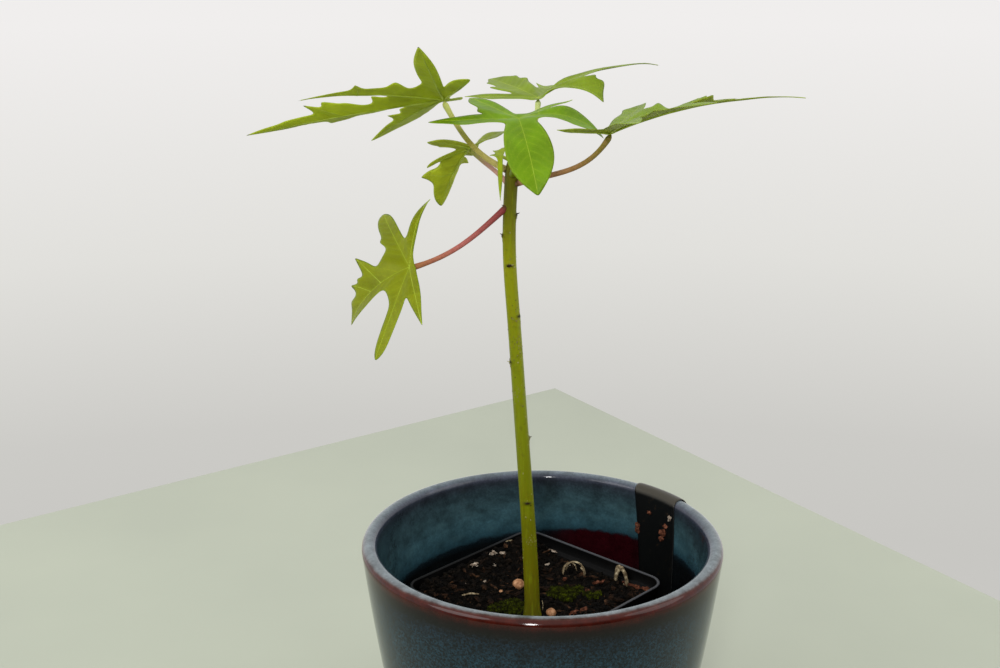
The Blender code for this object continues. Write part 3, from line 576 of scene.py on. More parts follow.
peat = grainy_material("damp_potting_mix", 3 * MM, (
    (0.35, "#020101"), (0.52, "#070503"), (0.66, "#100b06"), (0.8, "#221810")),
    detail=7.0, rough=0.75, bump=(0.8, 0.5 * MM), Roughness=0.8, IOR=1.4, Specular_IOR_Level=0.06)
soil = add_piece("potting_mix", *skin(rings), (peat,))
seat(soil, "potting_mix", "soil")

# %% [markdown]
# A scatter tree puts copies of a small shape on a surface, each with its own turn and size, and
# makes them real. It serves crumbs, fibres, moss and the stem's pores, so its sizes are named
# inputs, and an attribute of the surface says where copies may fall.

# %% Scatter tree
def scatter_tree(name, shape_kind, **shape_inputs):
    tree, node, given = new_tree(
        name, Density="Float", Smallest="Float", Largest="Float", Upright="Float", Rough_by="Float",
        Rough_scale="Float", Stretch="Vector", Seed="Int", Material="Material")
    where = node("GeometryNodeInputNamedAttribute", Name="where", data_type="FLOAT")
    spots = node("GeometryNodeDistributePointsOnFaces", Mesh=given["Geometry"],
                 Distance_Min=given["Smallest"], Density_Max=given["Density"], Density_Factor=where,
                 Seed=given["Seed"], distribute_method="POISSON")
    shape = node(shape_kind, **shape_inputs)
    draw = partial(node, "FunctionNodeRandomValue", Seed=given["Seed"])
    tumble = draw((-math.pi,) * 3, (math.pi,) * 3, data_type="FLOAT_VECTOR")
    calm = node("Math", 1.0, given["Upright"], operation="SUBTRACT")
    leaning = node("VectorMath", tumble, calm, operation="SCALE")
    turned = node("FunctionNodeRotateRotation", spots.outputs["Rotation"], leaning,
                  rotation_space="LOCAL")
    size = draw(given["Smallest"], given["Largest"], data_type="FLOAT")
    uneven = draw((0.6,) * 3, (1.4,) * 3, data_type="FLOAT_VECTOR")
    stretched = node("VectorMath", uneven, given["Stretch"], operation="MULTIPLY")
    scale = node("VectorMath", stretched, size, operation="SCALE")
    copies = node("GeometryNodeInstanceOnPoints", Points=spots, Instance=shape, Rotation=turned,
                  Scale=scale)
    real = node("GeometryNodeRealizeInstances", Geometry=copies)
    here = node("GeometryNodeInputPosition")
    rough_noise = node("TexNoise", Vector=here, Scale=given["Rough scale"], Detail=2.0)
    centred = node("VectorMath", rough_noise.outputs["Color"], (0.5,) * 3, operation="SUBTRACT")
    push = node("VectorMath", centred, given["Rough by"], operation="SCALE")
    roughened = node("GeometryNodeSetPosition", Geometry=real, Offset=push)
    finished = node("GeometryNodeSetMaterial", Geometry=roughened, Material=given["Material"])
    node("NodeGroupOutput", finished)
    return tree


def run_tree(piece, tree, **values):
    """Runs a node tree on a piece, and leaves the result as the piece's own plain mesh."""
    modifier = piece.modifiers.new(tree.name, "NODES")
    modifier.node_group = tree
    for socket in tree.interface.items_tree:
        key = socket.name.replace(" ", "_")
        if socket.in_out == "INPUT" and key in values:
            modifier[socket.identifier] = values[key]
    bpy.context.view_layer.update()
    seen = piece.evaluated_get(bpy.context.evaluated_depsgraph_get())
    made = bpy.data.meshes.new_from_object(seen, preserve_all_data_layers=True,
                                           depsgraph=bpy.context.evaluated_depsgraph_get())
    piece.modifiers.clear()
    piece.data = made
    made.name = piece.name
    return piece


def scatter(name, source, where, slot, tree, **values):
    """A piece of copies that stand on another piece, where a share of 0 to 1 lets them."""
    piece = add_object(name, source.data.copy())
    piece.data.materials.clear()
    set_attribute(piece, "where", where)
    seat(run_tree(piece, tree, **values), slot)


CRUMB_CLEAR = 3.4 * MM                    # crumbs keep this far from the stem's middle
soil_points = np.array([tuple(v.co) for v in soil.data.vertices])
below_top = soil_points[:, 2] < SOIL_LEVEL - 3 * MM
on_top = (~below_top * (from_stem(*soil_points.T[:2]) > CRUMB_CLEAR)).astype(float)
print("soil top has", int(on_top.sum()), "points")

# %% [markdown]
# Crumbs are low lumps of peat with a few faces each, and fibres are thin slivers of bark that lie
# flat. Both are a little lighter than the wet mix below, as bits that have dried are.

# %% Crumbs and fibres
bits_material = partial(grainy_material, Roughness=0.85, IOR=1.4, Specular_IOR_Level=0.08)
peat_crumb = bits_material("peat_crumbs", 2.5 * MM, (
    (0.36, "#030202"), (0.52, "#080604"), (0.62, "#110c08"), (0.76, "#281e15")))
bark = bits_material("shredded_pine_bark", 3.0 * MM, (
    (0.35, "#0b0704"), (0.50, "#170e08"), (0.62, "#2d1d12"), (0.78, "#5a402b")))
crumb_tree = scatter_tree("Soil crumbs", "GeometryNodeMeshIcoSphere", Radius=1.0, Subdivisions=1)
fibre_tree = scatter_tree("Bark fibres", "GeometryNodeMeshCube", Size=(1.0, 1.0, 1.0))
scatter("soil_crumbs", soil, on_top, "potting_mix", crumb_tree, Density=420000.0,
        Smallest=0.45 * MM, Largest=1.3 * MM, Upright=0.0, Rough_by=0.9 * MM, Rough_scale=900.0,
        Stretch=(1.0, 1.0, 0.8), Seed=3, Material=peat_crumb)
scatter("bark_fibres", soil, on_top, "potting_mix", fibre_tree, Density=60000.0,
        Smallest=0.5 * MM, Largest=1.2 * MM, Upright=0.86, Rough_by=0.5 * MM, Rough_scale=500.0,
        Stretch=(4.2, 0.6, 0.35), Seed=8, Material=bark)

# %% [markdown]
# Coated fertiliser grains are smooth tan balls of 3 to 4 mm. They, a chip of bark, a dried petal,
# a short stick and a curled dead leaf lie where the photo shows them, each on the soil's surface.

# %% Things that lie on the soil
LUMP_ROWS = 14
LUMP_COLUMNS = 22
RIBBON_RINGS = 14
RIBBON_SIDES = 10


def soil_top(x, y):
    """Height of the soil's surface at a place."""
    nearest = np.argmin(np.hypot(soil_points[:, 0] - x, soil_points[:, 1] - y) + below_top)
    return float(soil_points[nearest, 2])


def lump(x, y, radii, turn, seed, rough, sink=0.3):
    """An uneven lump that is sunk a little into the soil."""
    rings = []
    for v in np.linspace(-math.pi / 2, math.pi / 2, LUMP_ROWS + 2)[1:-1]:
        ring = []
        for u in full_turn(LUMP_COLUMNS):
            way = Vector((math.cos(u) * math.cos(v), math.sin(u) * math.cos(v), math.sin(v)))
            size = 1 + rough * noise.noise(way * 2 + Vector((seed, 0, 0)))
            a, b, c = (way[k] * radii[k] * size for k in range(3))
            ring.append((x + a * math.cos(turn) - b * math.sin(turn),
                         y + a * math.sin(turn) + b * math.cos(turn),
                         soil_top(x, y) + radii[2] * (1 - sink) + c))
        rings.append(ring)
    return skin(rings)


def add_bits(name, parts, material, slot="potting_mix"):
    """One piece of many small parts, each given as its points and faces."""
    points, faces = [], []
    for some_points, some_faces in parts:
        faces += [tuple(i + len(points) for i in face) for face in some_faces]
        points += list(some_points)
    piece = add_piece(name, points, faces, (material,))
    seat(piece, slot)
    return piece


def strip(path, wide, thick, turn):
    """A thin ribbon of dried plant along a path in mm, tapered at both ends."""
    path = np.array(path) * MM
    shares = np.linspace(0, 1, RIBBON_RINGS)
    line = spots_along(path, shares * walked(path)[-1])
    for _ in range(2):
        line[1:-1] = (line[:-2] + 2 * line[1:-1] + line[2:]) / 4
    rings = []
    for k, spot in enumerate(line):
        ahead = line[min(k + 1, len(line) - 1)] - line[max(k - 1, 0)]
        ahead /= np.linalg.norm(ahead)
        side = np.cross(ahead, (math.sin(turn), 0, math.cos(turn)))
        side /= np.linalg.norm(side)
        rise = np.cross(side, ahead)
        width = wide * MM * math.sqrt(max(0.1, 1 - (2 * shares[k] - 1) ** 4))
        width *= 1 + 0.35 * noise.noise(Vector(spot) / (1.1 * MM))
        rings.append([spot + side * width * math.cos(u) + rise * thick * MM * math.sin(u)
                      for u in full_turn(RIBBON_SIDES)])
    return skin(rings)


# The grains have a smooth tan resin coat. Perlite is white volcanic glass, stained by the mix
prill_skin = bits_material("coated_fertiliser", 1.2 * MM, (
    (0.3, "#6b4a30"), (0.5, "#93694a"), (0.7, "#b48a68")), Roughness=0.45)
perlite = bits_material("perlite", 1.0 * MM, (
    (0.3, "#463a30"), (0.5, "#7b6d5f"), (0.7, "#b3a899")))
# Grains: place and radius. Pale bits: place, half length, half width and turn
PRILLS = ((-8.9, 12.3, 2.4), (3.5, -8.5, 2.0), (-15.9, 6.0, 0.8))
PALE_BITS = ((-19.4, 29.5, 1.7, 1.3, 0.4), (-15.8, 31.0, 1.6, 0.8, 0.0), (-26.5, 19.0, 1.6, 1.1, 0.6),
             (-19.2, 23.3, 1.4, 0.6, 2.8), (5.6, 38.8, 2.1, 0.6, 2.4), (-22.5, 12.0, 0.8, 0.5, 1.0),
             (3.6, 30.0, 1.3, 0.9, 0.3), (-30.0, 8.0, 0.7, 0.5, 0.2), (12.0, 31.0, 1.6, 0.5, 2.2))
add_bits("fertiliser_grains", [
    lump(x * MM, y * MM, (r * MM, r * 0.95 * MM, r * 0.9 * MM), 0, i, rough=0.08)
    for i, (x, y, r) in enumerate(PRILLS)], prill_skin)
add_bits("pale_bits", [
    lump(x * MM, y * MM, (long * MM, wide * MM, wide * 0.7 * MM), turn, 20 + i, rough=0.7)
    for i, (x, y, long, wide, turn) in enumerate(PALE_BITS)], perlite)

# %% [markdown]
# Chips of bark lie everywhere between the crumbs, so most are placed by a seeded random draw. The
# few that stand out in the photo, a reddish one and some pinkish ones, get a place of their own.

# %% Bark chips
CHIP_COUNT = 90
CHIP_CLEAR = 7 * MM                       # chips keep this far from the stem's middle
CHIP_SPREAD = 33 * MM
RED_CHIPS = ((13.0, -8.5, 2.6, 1.3, 0.5), (16.5, -7.5, 2.4, 1.1, 0.9), (18.4, 6.8, 1.2, 0.8, 0.4),
             (22.6, 12.6, 1.8, 0.8, 0.1), (25.6, 13.6, 1.7, 0.8, 0.6), (10.0, 16.3, 0.9, 0.5, 0.3))
draw = np.random.default_rng(4)
dark_chips = []
for i in range(CHIP_COUNT):
    x, y = draw.uniform(-CHIP_SPREAD, CHIP_SPREAD, 2)
    along = x * math.cos(NURSERY_TURN) - y * math.sin(NURSERY_TURN) + NURSERY_CENTRE[0]
    across = x * math.sin(NURSERY_TURN) + y * math.cos(NURSERY_TURN) + NURSERY_CENTRE[1]
    long, wide = draw.uniform(1.0, 3.2) * MM, draw.uniform(0.5, 1.3) * MM
    turn = draw.uniform(0, math.pi)
    if from_stem(along, across) > CHIP_CLEAR:
        dark_chips.append(lump(along, across, (long, wide, wide * 0.6), turn, 60 + i, sink=0.15,
                               rough=0.8))
add_bits("bark_chips", dark_chips, bark)
red_bark = bits_material("reddish_bark", 1.6 * MM, (
    (0.3, "#1e0e09"), (0.5, "#452619"), (0.7, "#754a38")))
add_bits("reddish_bark_chips", [
    lump(x * MM, y * MM, (long * MM, wide * MM, 0.8 * MM), turn, 40 + i, sink=0.1, rough=0.6)
    for i, (x, y, long, wide, turn) in enumerate(RED_CHIPS)], red_bark)

# %% [markdown]
# Dried plant bits are thin and curled: a twig, a curled leaflet that arches up, a papery ring
# against the pot's inner wall and the dry sheath at the stem's foot. Each is a ribbon on a path.

# %% Dried bits
dry_leaf = bits_material("dried_leaf", 1.3 * MM, (
    (0.3, "#33291c"), (0.5, "#6b5d46"), (0.7, "#ada083")))
# Each ribbon's path, half width and half thickness in mm, and how far its flat side leans over
DRIED = (
    (((-17.1, 39.2, 86.6), (-14.2, 41.2, 87.2), (-11.2, 43.2, 86.6)), 0.75, 0.3, 0.0),
    (((9.5, 22.0, 81.0), (9.6, 22.6, 84.6), (13.5, 23.0, 86.8), (17.3, 22.0, 85.6), (18.6, 20.6, 81.2)),
     0.8, 0.18, 0.0),
    (((10.8, 25.0, 81.5), (12.2, 26.5, 84.6), (14.6, 25.2, 84.0), (15.2, 23.2, 82.0)), 0.8, 0.16, 0.8),
    (((16.6, 21.0, 84.8), (18.0, 20.3, 83.6), (18.3, 19.8, 81.2)), 1.2, 0.2, 0.4),
    (((30.4, 15.5, 80.8), (30.6, 15.2, 84.5), (31.2, 14.6, 87.4), (32.6, 13.4, 88.2)), 1.7, 0.75, 1.2),
    (((32.4, 13.6, 88.5), (34.0, 12.2, 86.0), (34.6, 11.6, 83.0), (34.9, 11.3, 80.8)), 1.5, 0.75, 1.2),
    (((30.8, 15.0, 81.8), (32.6, 13.6, 80.9), (34.6, 11.9, 81.4)), 1.5, 0.6, 0.3),
    (((0.2, -5.8, 79.2), (0.5, -5.4, 81.0), (0.1, -5.7, 83.4)), 0.8, 0.15, 1.4),
    (((-31.3, 1.1, 82.2), (-28.0, 2.6, 82.4), (-24.6, 3.2, 81.6)), 0.5, 0.3, 0.0),
)
add_bits("dried_plant_bits", [strip(*row) for row in DRIED], dry_leaf)
# Clods that cling to the nursery pot's wall at the back right
CLINGING = ((34.6, 11.8), (37.0, 9.8), (39.4, 7.6), (41.8, 5.2), (38.0, 8.4))
add_bits("soil_on_pot_wall", [
    lump(x * MM, y * MM, (2.0 * MM, 1.1 * MM, 0.7 * MM), 2.4, 80 + i, sink=0.0, rough=0.9)
    for i, (x, y) in enumerate(CLINGING)], red_bark)
# On the strap: place, half length, half width and whether it is pale
STRAP_CRUMBS = ((42.4, 45.4, 90.2, 1.9, 1.3, False), (42.2, 45.8, 92.4, 1.5, 1.1, False),
                (51.3, 35.0, 91.2, 1.6, 1.4, False), (51.6, 34.8, 93.8, 1.9, 1.8, False),
                (52.6, 34.4, 96.8, 1.4, 1.3, False), (46.6, 42.4, 99.5, 1.3, 1.0, False),
                (54.4, 33.3, 101.0, 1.2, 1.7, True), (48.6, 45.9, 105.6, 1.4, 1.0, True))


def wall_lump(x, y, z, long, wide, seed):
    """A lump that sticks to an upright wall."""
    points, faces = lump(x * MM, y * MM, (long * MM, wide * MM, wide * MM), 2.2, seed, rough=0.45)
    points = np.array(points)
    return points + np.array((0, 0, z * MM - np.mean(points[:, 2]))), faces


for pale, title, tone in ((False, "soil_on_strap", red_bark), (True, "pale_bits_on_strap", perlite)):
    add_bits(title, [wall_lump(*row[:5], 90 + i) for i, row in enumerate(STRAP_CRUMBS)
                     if row[5] == pale], tone)

# %% [markdown]
# Moss has settled in two patches at the front of the soil. It is a low cushion with a fur of tiny
# shoots, so small lumps make the cushion and narrow cones are scattered over them.

# %% Moss
# Middle of each patch, half width, half depth in mm, and how many lumps it is made of
MOSS_PATCHES = ((-14.0, -4.5, 7.5, 5.5, 46), (-10.5, -1.0, 3.8, 2.8, 16), (9.6, 6.5, 7.5, 5.0, 44),
                (19.8, 3.0, 3.6, 2.2, 14))
MOSS_CLEAR = 4.6 * MM
moss_green = bits_material("moss", 1.3 * MM, (
    (0.30, "#0c0d03"), (0.46, "#1b1e03"), (0.60, "#2f3503"), (0.78, "#515b06")))
draw = np.random.default_rng(9)
cushions = []
for x, y, wide, deep, lumps in MOSS_PATCHES:
    for k in range(lumps):
        a, away = draw.uniform(0, 2 * math.pi), math.sqrt(draw.uniform(0, 1))
        size = draw.uniform(0.8, 1.7) * (1.15 - 0.5 * away) * MM
        right = (x + wide * away * math.cos(a)) * MM
        back = (y + deep * away * math.sin(a)) * MM
        if from_stem(right, back) > MOSS_CLEAR:
            cushions.append(lump(right, back, (size, size * 0.9, size * 0.75), a, 200 + k,
                                 sink=0.25, rough=0.5))
cushion = add_bits("moss_cushions", cushions, moss_green)
moss_tree = scatter_tree("Moss shoots", "GeometryNodeMeshCone", Vertices=4, Side_Segments=2,
                         Radius_Top=0.0, Radius_Bottom=0.5, Depth=1.8)
scatter("moss_patches", cushion, np.ones(len(cushion.data.vertices)), "potting_mix", moss_tree,
        Density=14000000.0, Smallest=0.22 * MM, Largest=0.5 * MM, Upright=0.7, Rough_by=0.15 * MM,
        Rough_scale=1500.0, Stretch=(1.0, 1.0, 1.0), Seed=5, Material=moss_green)

# %% [markdown]
# ## The stem
#
# A papaya seedling's stem is soft and green, with a waxy skin. Each fallen leaf leaves a ridge
# with a dry brown scar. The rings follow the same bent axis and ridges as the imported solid, but
# there are far more of them, so that shallow ribs and a crescent at each scar can show.

# %% Stem axis and radius
STEM_BENDS = np.array(((STEM_FOOT[0], STEM_FOOT[1], SOIL_LEVEL + GAP), (-0.0050, -0.006, 0.1370),
                       (-0.0155, -0.006, 0.2150), (-0.0115, -0.006, 0.2570)))
STEM_FLARE = 0.7 * MM
STEM_FLARE_HEIGHT = 6 * MM
STEM_FOOT_RADIUS = 3.0 * MM
STEM_WAIST_RADIUS = 2.32 * MM
STEM_TOP_RADIUS = 2.45 * MM
STEM_TIP_TAPER = 5 * MM
STEM_TIP_BLUNT = 0.12
# Scars of fallen leaves: height, azimuth in degrees, and how far each stands out
STEM_SCARS = ((0.1258, 275, 0.0007), (0.1510, 20, 0.0009), (0.1810, 200, 0.0009),
              (0.1985, 330, 0.0005), (0.2177, 270, 0.0008), (0.2285, 190, 0.0009),
              (0.2360, 350, 0.0009))
SCAR_HEIGHT = 0.75 * MM
SCAR_SPREAD = math.radians(42)
SCAR_SHARE = 0.55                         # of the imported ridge, because real ones are sharper
SCAR_LEDGE = 0.12 * MM                    # a second, weaker swelling under each scar
SCAR_LEDGE_DROP = 1.6 * MM
RIBS = 0.05 * MM
FINE_RIBS = 0.03 * MM
STEM_BOW = 0.7 * MM
BOW_HEIGHT = 222 * MM
BOW_REACH = 22 * MM
STEM_RINGS = 420
STEM_SIDES = 40
AXIS_POINTS = 2000


def bezier(bends, t):
    """Points on a curve that is bent past four points."""
    t = t[:, None]
    s = 1 - t
    return bends[0] * s**3 + bends[1] * 3 * s * s * t + bends[2] * 3 * s * t * t + bends[3] * t**3


axis_line = bezier(STEM_BENDS, np.linspace(0, 1, AXIS_POINTS))


def stem_at(height):
    """Where the stem's axis is at a height."""
    return np.array([np.interp(height, axis_line[:, 2], axis_line[:, k]) for k in range(3)])


def turn_from(azimuth, degrees):
    """The turn between two directions, from minus to plus half a turn, in radians."""
    return (azimuth - math.radians(degrees) + math.pi) % (2 * math.pi) - math.pi


def scar_nearness(height, azimuth, scar):
    turn = turn_from(azimuth, scar[1]) / SCAR_SPREAD
    return np.exp(-((height - scar[0]) / SCAR_HEIGHT) ** 2 - turn * turn)


def stem_radius(height, azimuth):
    low, tip = STEM_BENDS[0][2], STEM_BENDS[-1][2]
    share = (height - low) / (tip - low)
    radius = STEM_WAIST_RADIUS + (STEM_FOOT_RADIUS - STEM_WAIST_RADIUS) * (1 - share) ** 2
    radius += (STEM_TOP_RADIUS - STEM_WAIST_RADIUS) * share ** 6
    radius += STEM_FLARE * max(0.0, 1 - (height - low) / STEM_FLARE_HEIGHT) ** 2
    radius = radius + RIBS * np.cos(5 * azimuth + 9 * share) + FINE_RIBS * np.cos(11 * azimuth)
    for scar in STEM_SCARS:
        radius = radius + SCAR_SHARE * scar[2] * scar_nearness(height, azimuth, scar)
        radius = radius + SCAR_LEDGE * scar_nearness(height + SCAR_LEDGE_DROP, azimuth, scar)
    end = max(0.0, min(1.0, (tip - height) / STEM_TIP_TAPER))
    return radius * math.sqrt(STEM_TIP_BLUNT + (1 - STEM_TIP_BLUNT) * (1 - (1 - end) ** 2))


def skin_centre(height):
    """The middle of the visible stem, which bows a little to the left under its top."""
    bow = STEM_BOW * math.exp(-((height - BOW_HEIGHT) / BOW_REACH) ** 2)
    return stem_at(height) - np.array((bow, 0, 0))


turns = full_turn(STEM_SIDES)
heights = np.linspace(STEM_BENDS[0][2], STEM_BENDS[-1][2], STEM_RINGS)
rings = []
scarred = []
for height in heights:
    rings.append(ring_at(stem_radius(height, turns), turns, height, skin_centre(height)))
    scarred.append(sum(scar_nearness(height - 0.3 * MM, turns, scar) ** 2 for scar in STEM_SCARS))
print("stem is", round(float(heights[-1] - heights[0]), 3), "m tall")

# %% [markdown]
# The stem is olive at the foot, bright in the middle and brownish at the top, so a ramp reads the
# height. Noise that is stretched upwards gives streaks, and an attribute browns the ridges.

# %% Stem skin
green_stem, node, shader, place = new_material(
    "waxy_green_stem", Roughness=0.42, IOR=1.42, Specular_IOR_Level=0.14, Subsurface_Weight=0.1,
    Subsurface_Scale=1.0 * MM)
up_stem = node("MapRange", node("SeparateXYZ", place).outputs["Z"], 0.078, 0.258)
greens = node("ValToRGB", up_stem, stops=(
    (0.0, "#4d4a0c"), (0.10, "#5b5806"), (0.25, "#626604"), (0.5, "#6f7806"), (0.78, "#7f820a"),
    (0.90, "#59590c"), (1.0, "#52500a")))
streak_place = node("Mapping", Vector=place, Scale=(1, 1, 0.12))
streaks = node("TexNoise", Vector=streak_place, Scale=1 / (1.1 * MM), Detail=4.0)
streak_share = node("MapRange", streaks, 0.5, 0.8, 0.0, 0.45)
streaked = node("Mix", streak_share, greens, "#7d8a14", data_type="RGBA")
blotch = node("TexNoise", Vector=place, Scale=1 / (2.4 * MM), Detail=4.0)
blotch_share = node("MapRange", blotch, 0.58, 0.72, 0.0, 0.35)
blotched = node("Mix", blotch_share, streaked, "#4a4a10", data_type="RGBA")
scar = node("Attribute", attribute_name="scar").outputs["Fac"]
scar_share = node("Math", scar, 1.3, operation="MULTIPLY", use_clamp=True)
browned = node("Mix", scar_share, blotched, "#1c1206", data_type="RGBA")
skin_grain = node("Bump", Height=streaks, Strength=0.3, Distance=0.15 * MM)
feed(shader, Base_Color=browned, Normal=skin_grain)

stem = add_piece("green_stem", *skin(rings), (green_stem,))
set_attribute(stem, "scar", np.append(np.clip(np.concatenate(scarred), 0, 1), (0, 0)))
seat(stem, "green_stem", "stem")

# %% Pores on the stem
# Height, how far up and down it reaches, and azimuth of each corky patch
CORK_PATCHES = ((0.1996, 0.005, 300), (0.1874, 0.004, 310), (0.1808, 0.002, 200), (0.1510, 0.002, 20),
                (0.1109, 0.002, 285), (0.1690, 0.004, 280))
# Pores are small warts of pale cork
pore_skin = bits_material("corky_pores", 1.5 * MM, (
    (0.35, "#57531f"), (0.5, "#73703a"), (0.7, "#918d54")), Roughness=0.7)
pore_tree = scatter_tree("Stem pores", "GeometryNodeMeshIcoSphere", Radius=1.0, Subdivisions=2)
stem_heights = np.array([v.co.z for v in stem.data.vertices])
stem_turns = np.array([math.atan2(v.co.y - STEM_BENDS[1][1], v.co.x - stem_at(v.co.z)[0])
                       for v in stem.data.vertices])
corky = 0.02 + sum(np.exp(-((stem_heights - at) / reach) ** 2 - turn_from(stem_turns, side) ** 2)
                   for at, reach, side in CORK_PATCHES)
scatter("stem_pores", stem, np.clip(corky, 0, 1), "green_stem", pore_tree, Density=900000.0,
        Smallest=0.1 * MM, Largest=0.27 * MM, Upright=1.0, Rough_by=0.12 * MM, Rough_scale=3000.0,
        Stretch=(1.0, 1.5, 0.5), Seed=11, Material=pore_skin)

# %% [markdown]
# Where a leaf broke off long ago, a dry stump of its stalk or the curled edge of the scar still
# stands out. These are short tubes that taper, dark brown or pale, at the places in the photo.

# %% Stumps of old stalks
# Height, azimuth, how far it stands out and its half width in mm, and whether it is pale
STUMPS = (
    (0.2365, 355, 1.1, 0.45, False), (0.2350, 335, 0.7, 0.35, False), (0.2290, 185, 0.9, 0.35, False),
    (0.2182, 292, 1.0, 0.45, True), (0.2178, 262, 0.5, 0.8, False), (0.2172, 310, 0.7, 0.35, True),
    (0.1812, 196, 1.0, 0.35, True), (0.1806, 212, 0.6, 0.3, True), (0.1512, 15, 0.8, 0.35, False),
    (0.1250, 300, 0.4, 0.45, False), (0.2395, 185, 0.7, 0.4, False))
STUMP_RINGS = 7
STUMP_SIDES = 10
# Dead stalk tissue: dark brown where it is old, straw-coloured where it is fresh
brown_tone = bits_material("dry_brown_stumps", 1 * MM, (
    (0.3, "#120a04"), (0.5, "#2b1c0c"), (0.7, "#4f381c")))
pale_tone = bits_material("pale_stumps", 1 * MM, (
    (0.3, "#5f5a2c"), (0.5, "#97905a"), (0.7, "#c4bf94")))


def stump(height, azimuth, out, half_width):
    """Rings from inside the stem outwards, bent up a little towards the end."""
    a = math.radians(azimuth)
    away = np.array((math.cos(a), math.sin(a), 0.0))
    level = np.array((-math.sin(a), math.cos(a), 0.0))
    start = skin_centre(height) + away * (stem_radius(height, a) - 0.5 * MM)
    rings = []
    for share in np.linspace(0, 1, STUMP_RINGS):
        lift = np.array((0, 0, 0.4 * out * MM * share ** 2))
        spot = start + away * (0.5 + 0.75 * out) * MM * share + lift
        width = half_width * MM * (1 - 0.6 * share ** 2)
        rings.append([spot + level * width * math.cos(u) + np.array((0, 0, 0.6 * width * math.sin(u)))
                      for u in full_turn(STUMP_SIDES)])
    return skin(rings)


for pale, title, tone in ((False, "brown_stumps", brown_tone), (True, "pale_stumps", pale_tone)):
    add_bits(title, [stump(*row[:4]) for row in STUMPS if row[4] == pale], tone, "green_stem")

# %% [markdown]
# ## The leaves' plan
#
# Each papaya leaf has a stalk and a blade of four to seven lobes, and each lobe has its own
# midrib, width, teeth and bend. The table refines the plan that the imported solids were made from,
# so a finer blade lands on its solid. Angles are in degrees and lengths in metres.

# %% Leaf table
# How a lobe swells: where it is widest, how wide its neck is, how full it stays towards the tip,
# how blunt the tip is (1 is pointed), how wide its right and left halves are and how far it twists
Shape = namedtuple("Shape", "widest neck fullness blunt right left twist",
                   defaults=(0.5, 0.62, 1.25, 1.0, 1.0, 1.0, 0))
Lobe = namedtuple("Lobe", "heading length half_width lift droop teeth shape", defaults=((), Shape()))
# A soft tooth is a rounded bump: its tip isn't kept when the outline is smoothed
Tooth = namedtuple("Tooth", "side place reach root soft sweep", defaults=(False, 0.7))
# The stalk: its height on the stem, where its heel is from there, its slopes at both ends and its
# radius. The blade: where it heads, its pitch and roll, and the share of the lobes that is joined
Leaf = namedtuple("Leaf", "node azimuth reach rise slope_out slope_in radius heading pitch roll web "
                          "lobes")

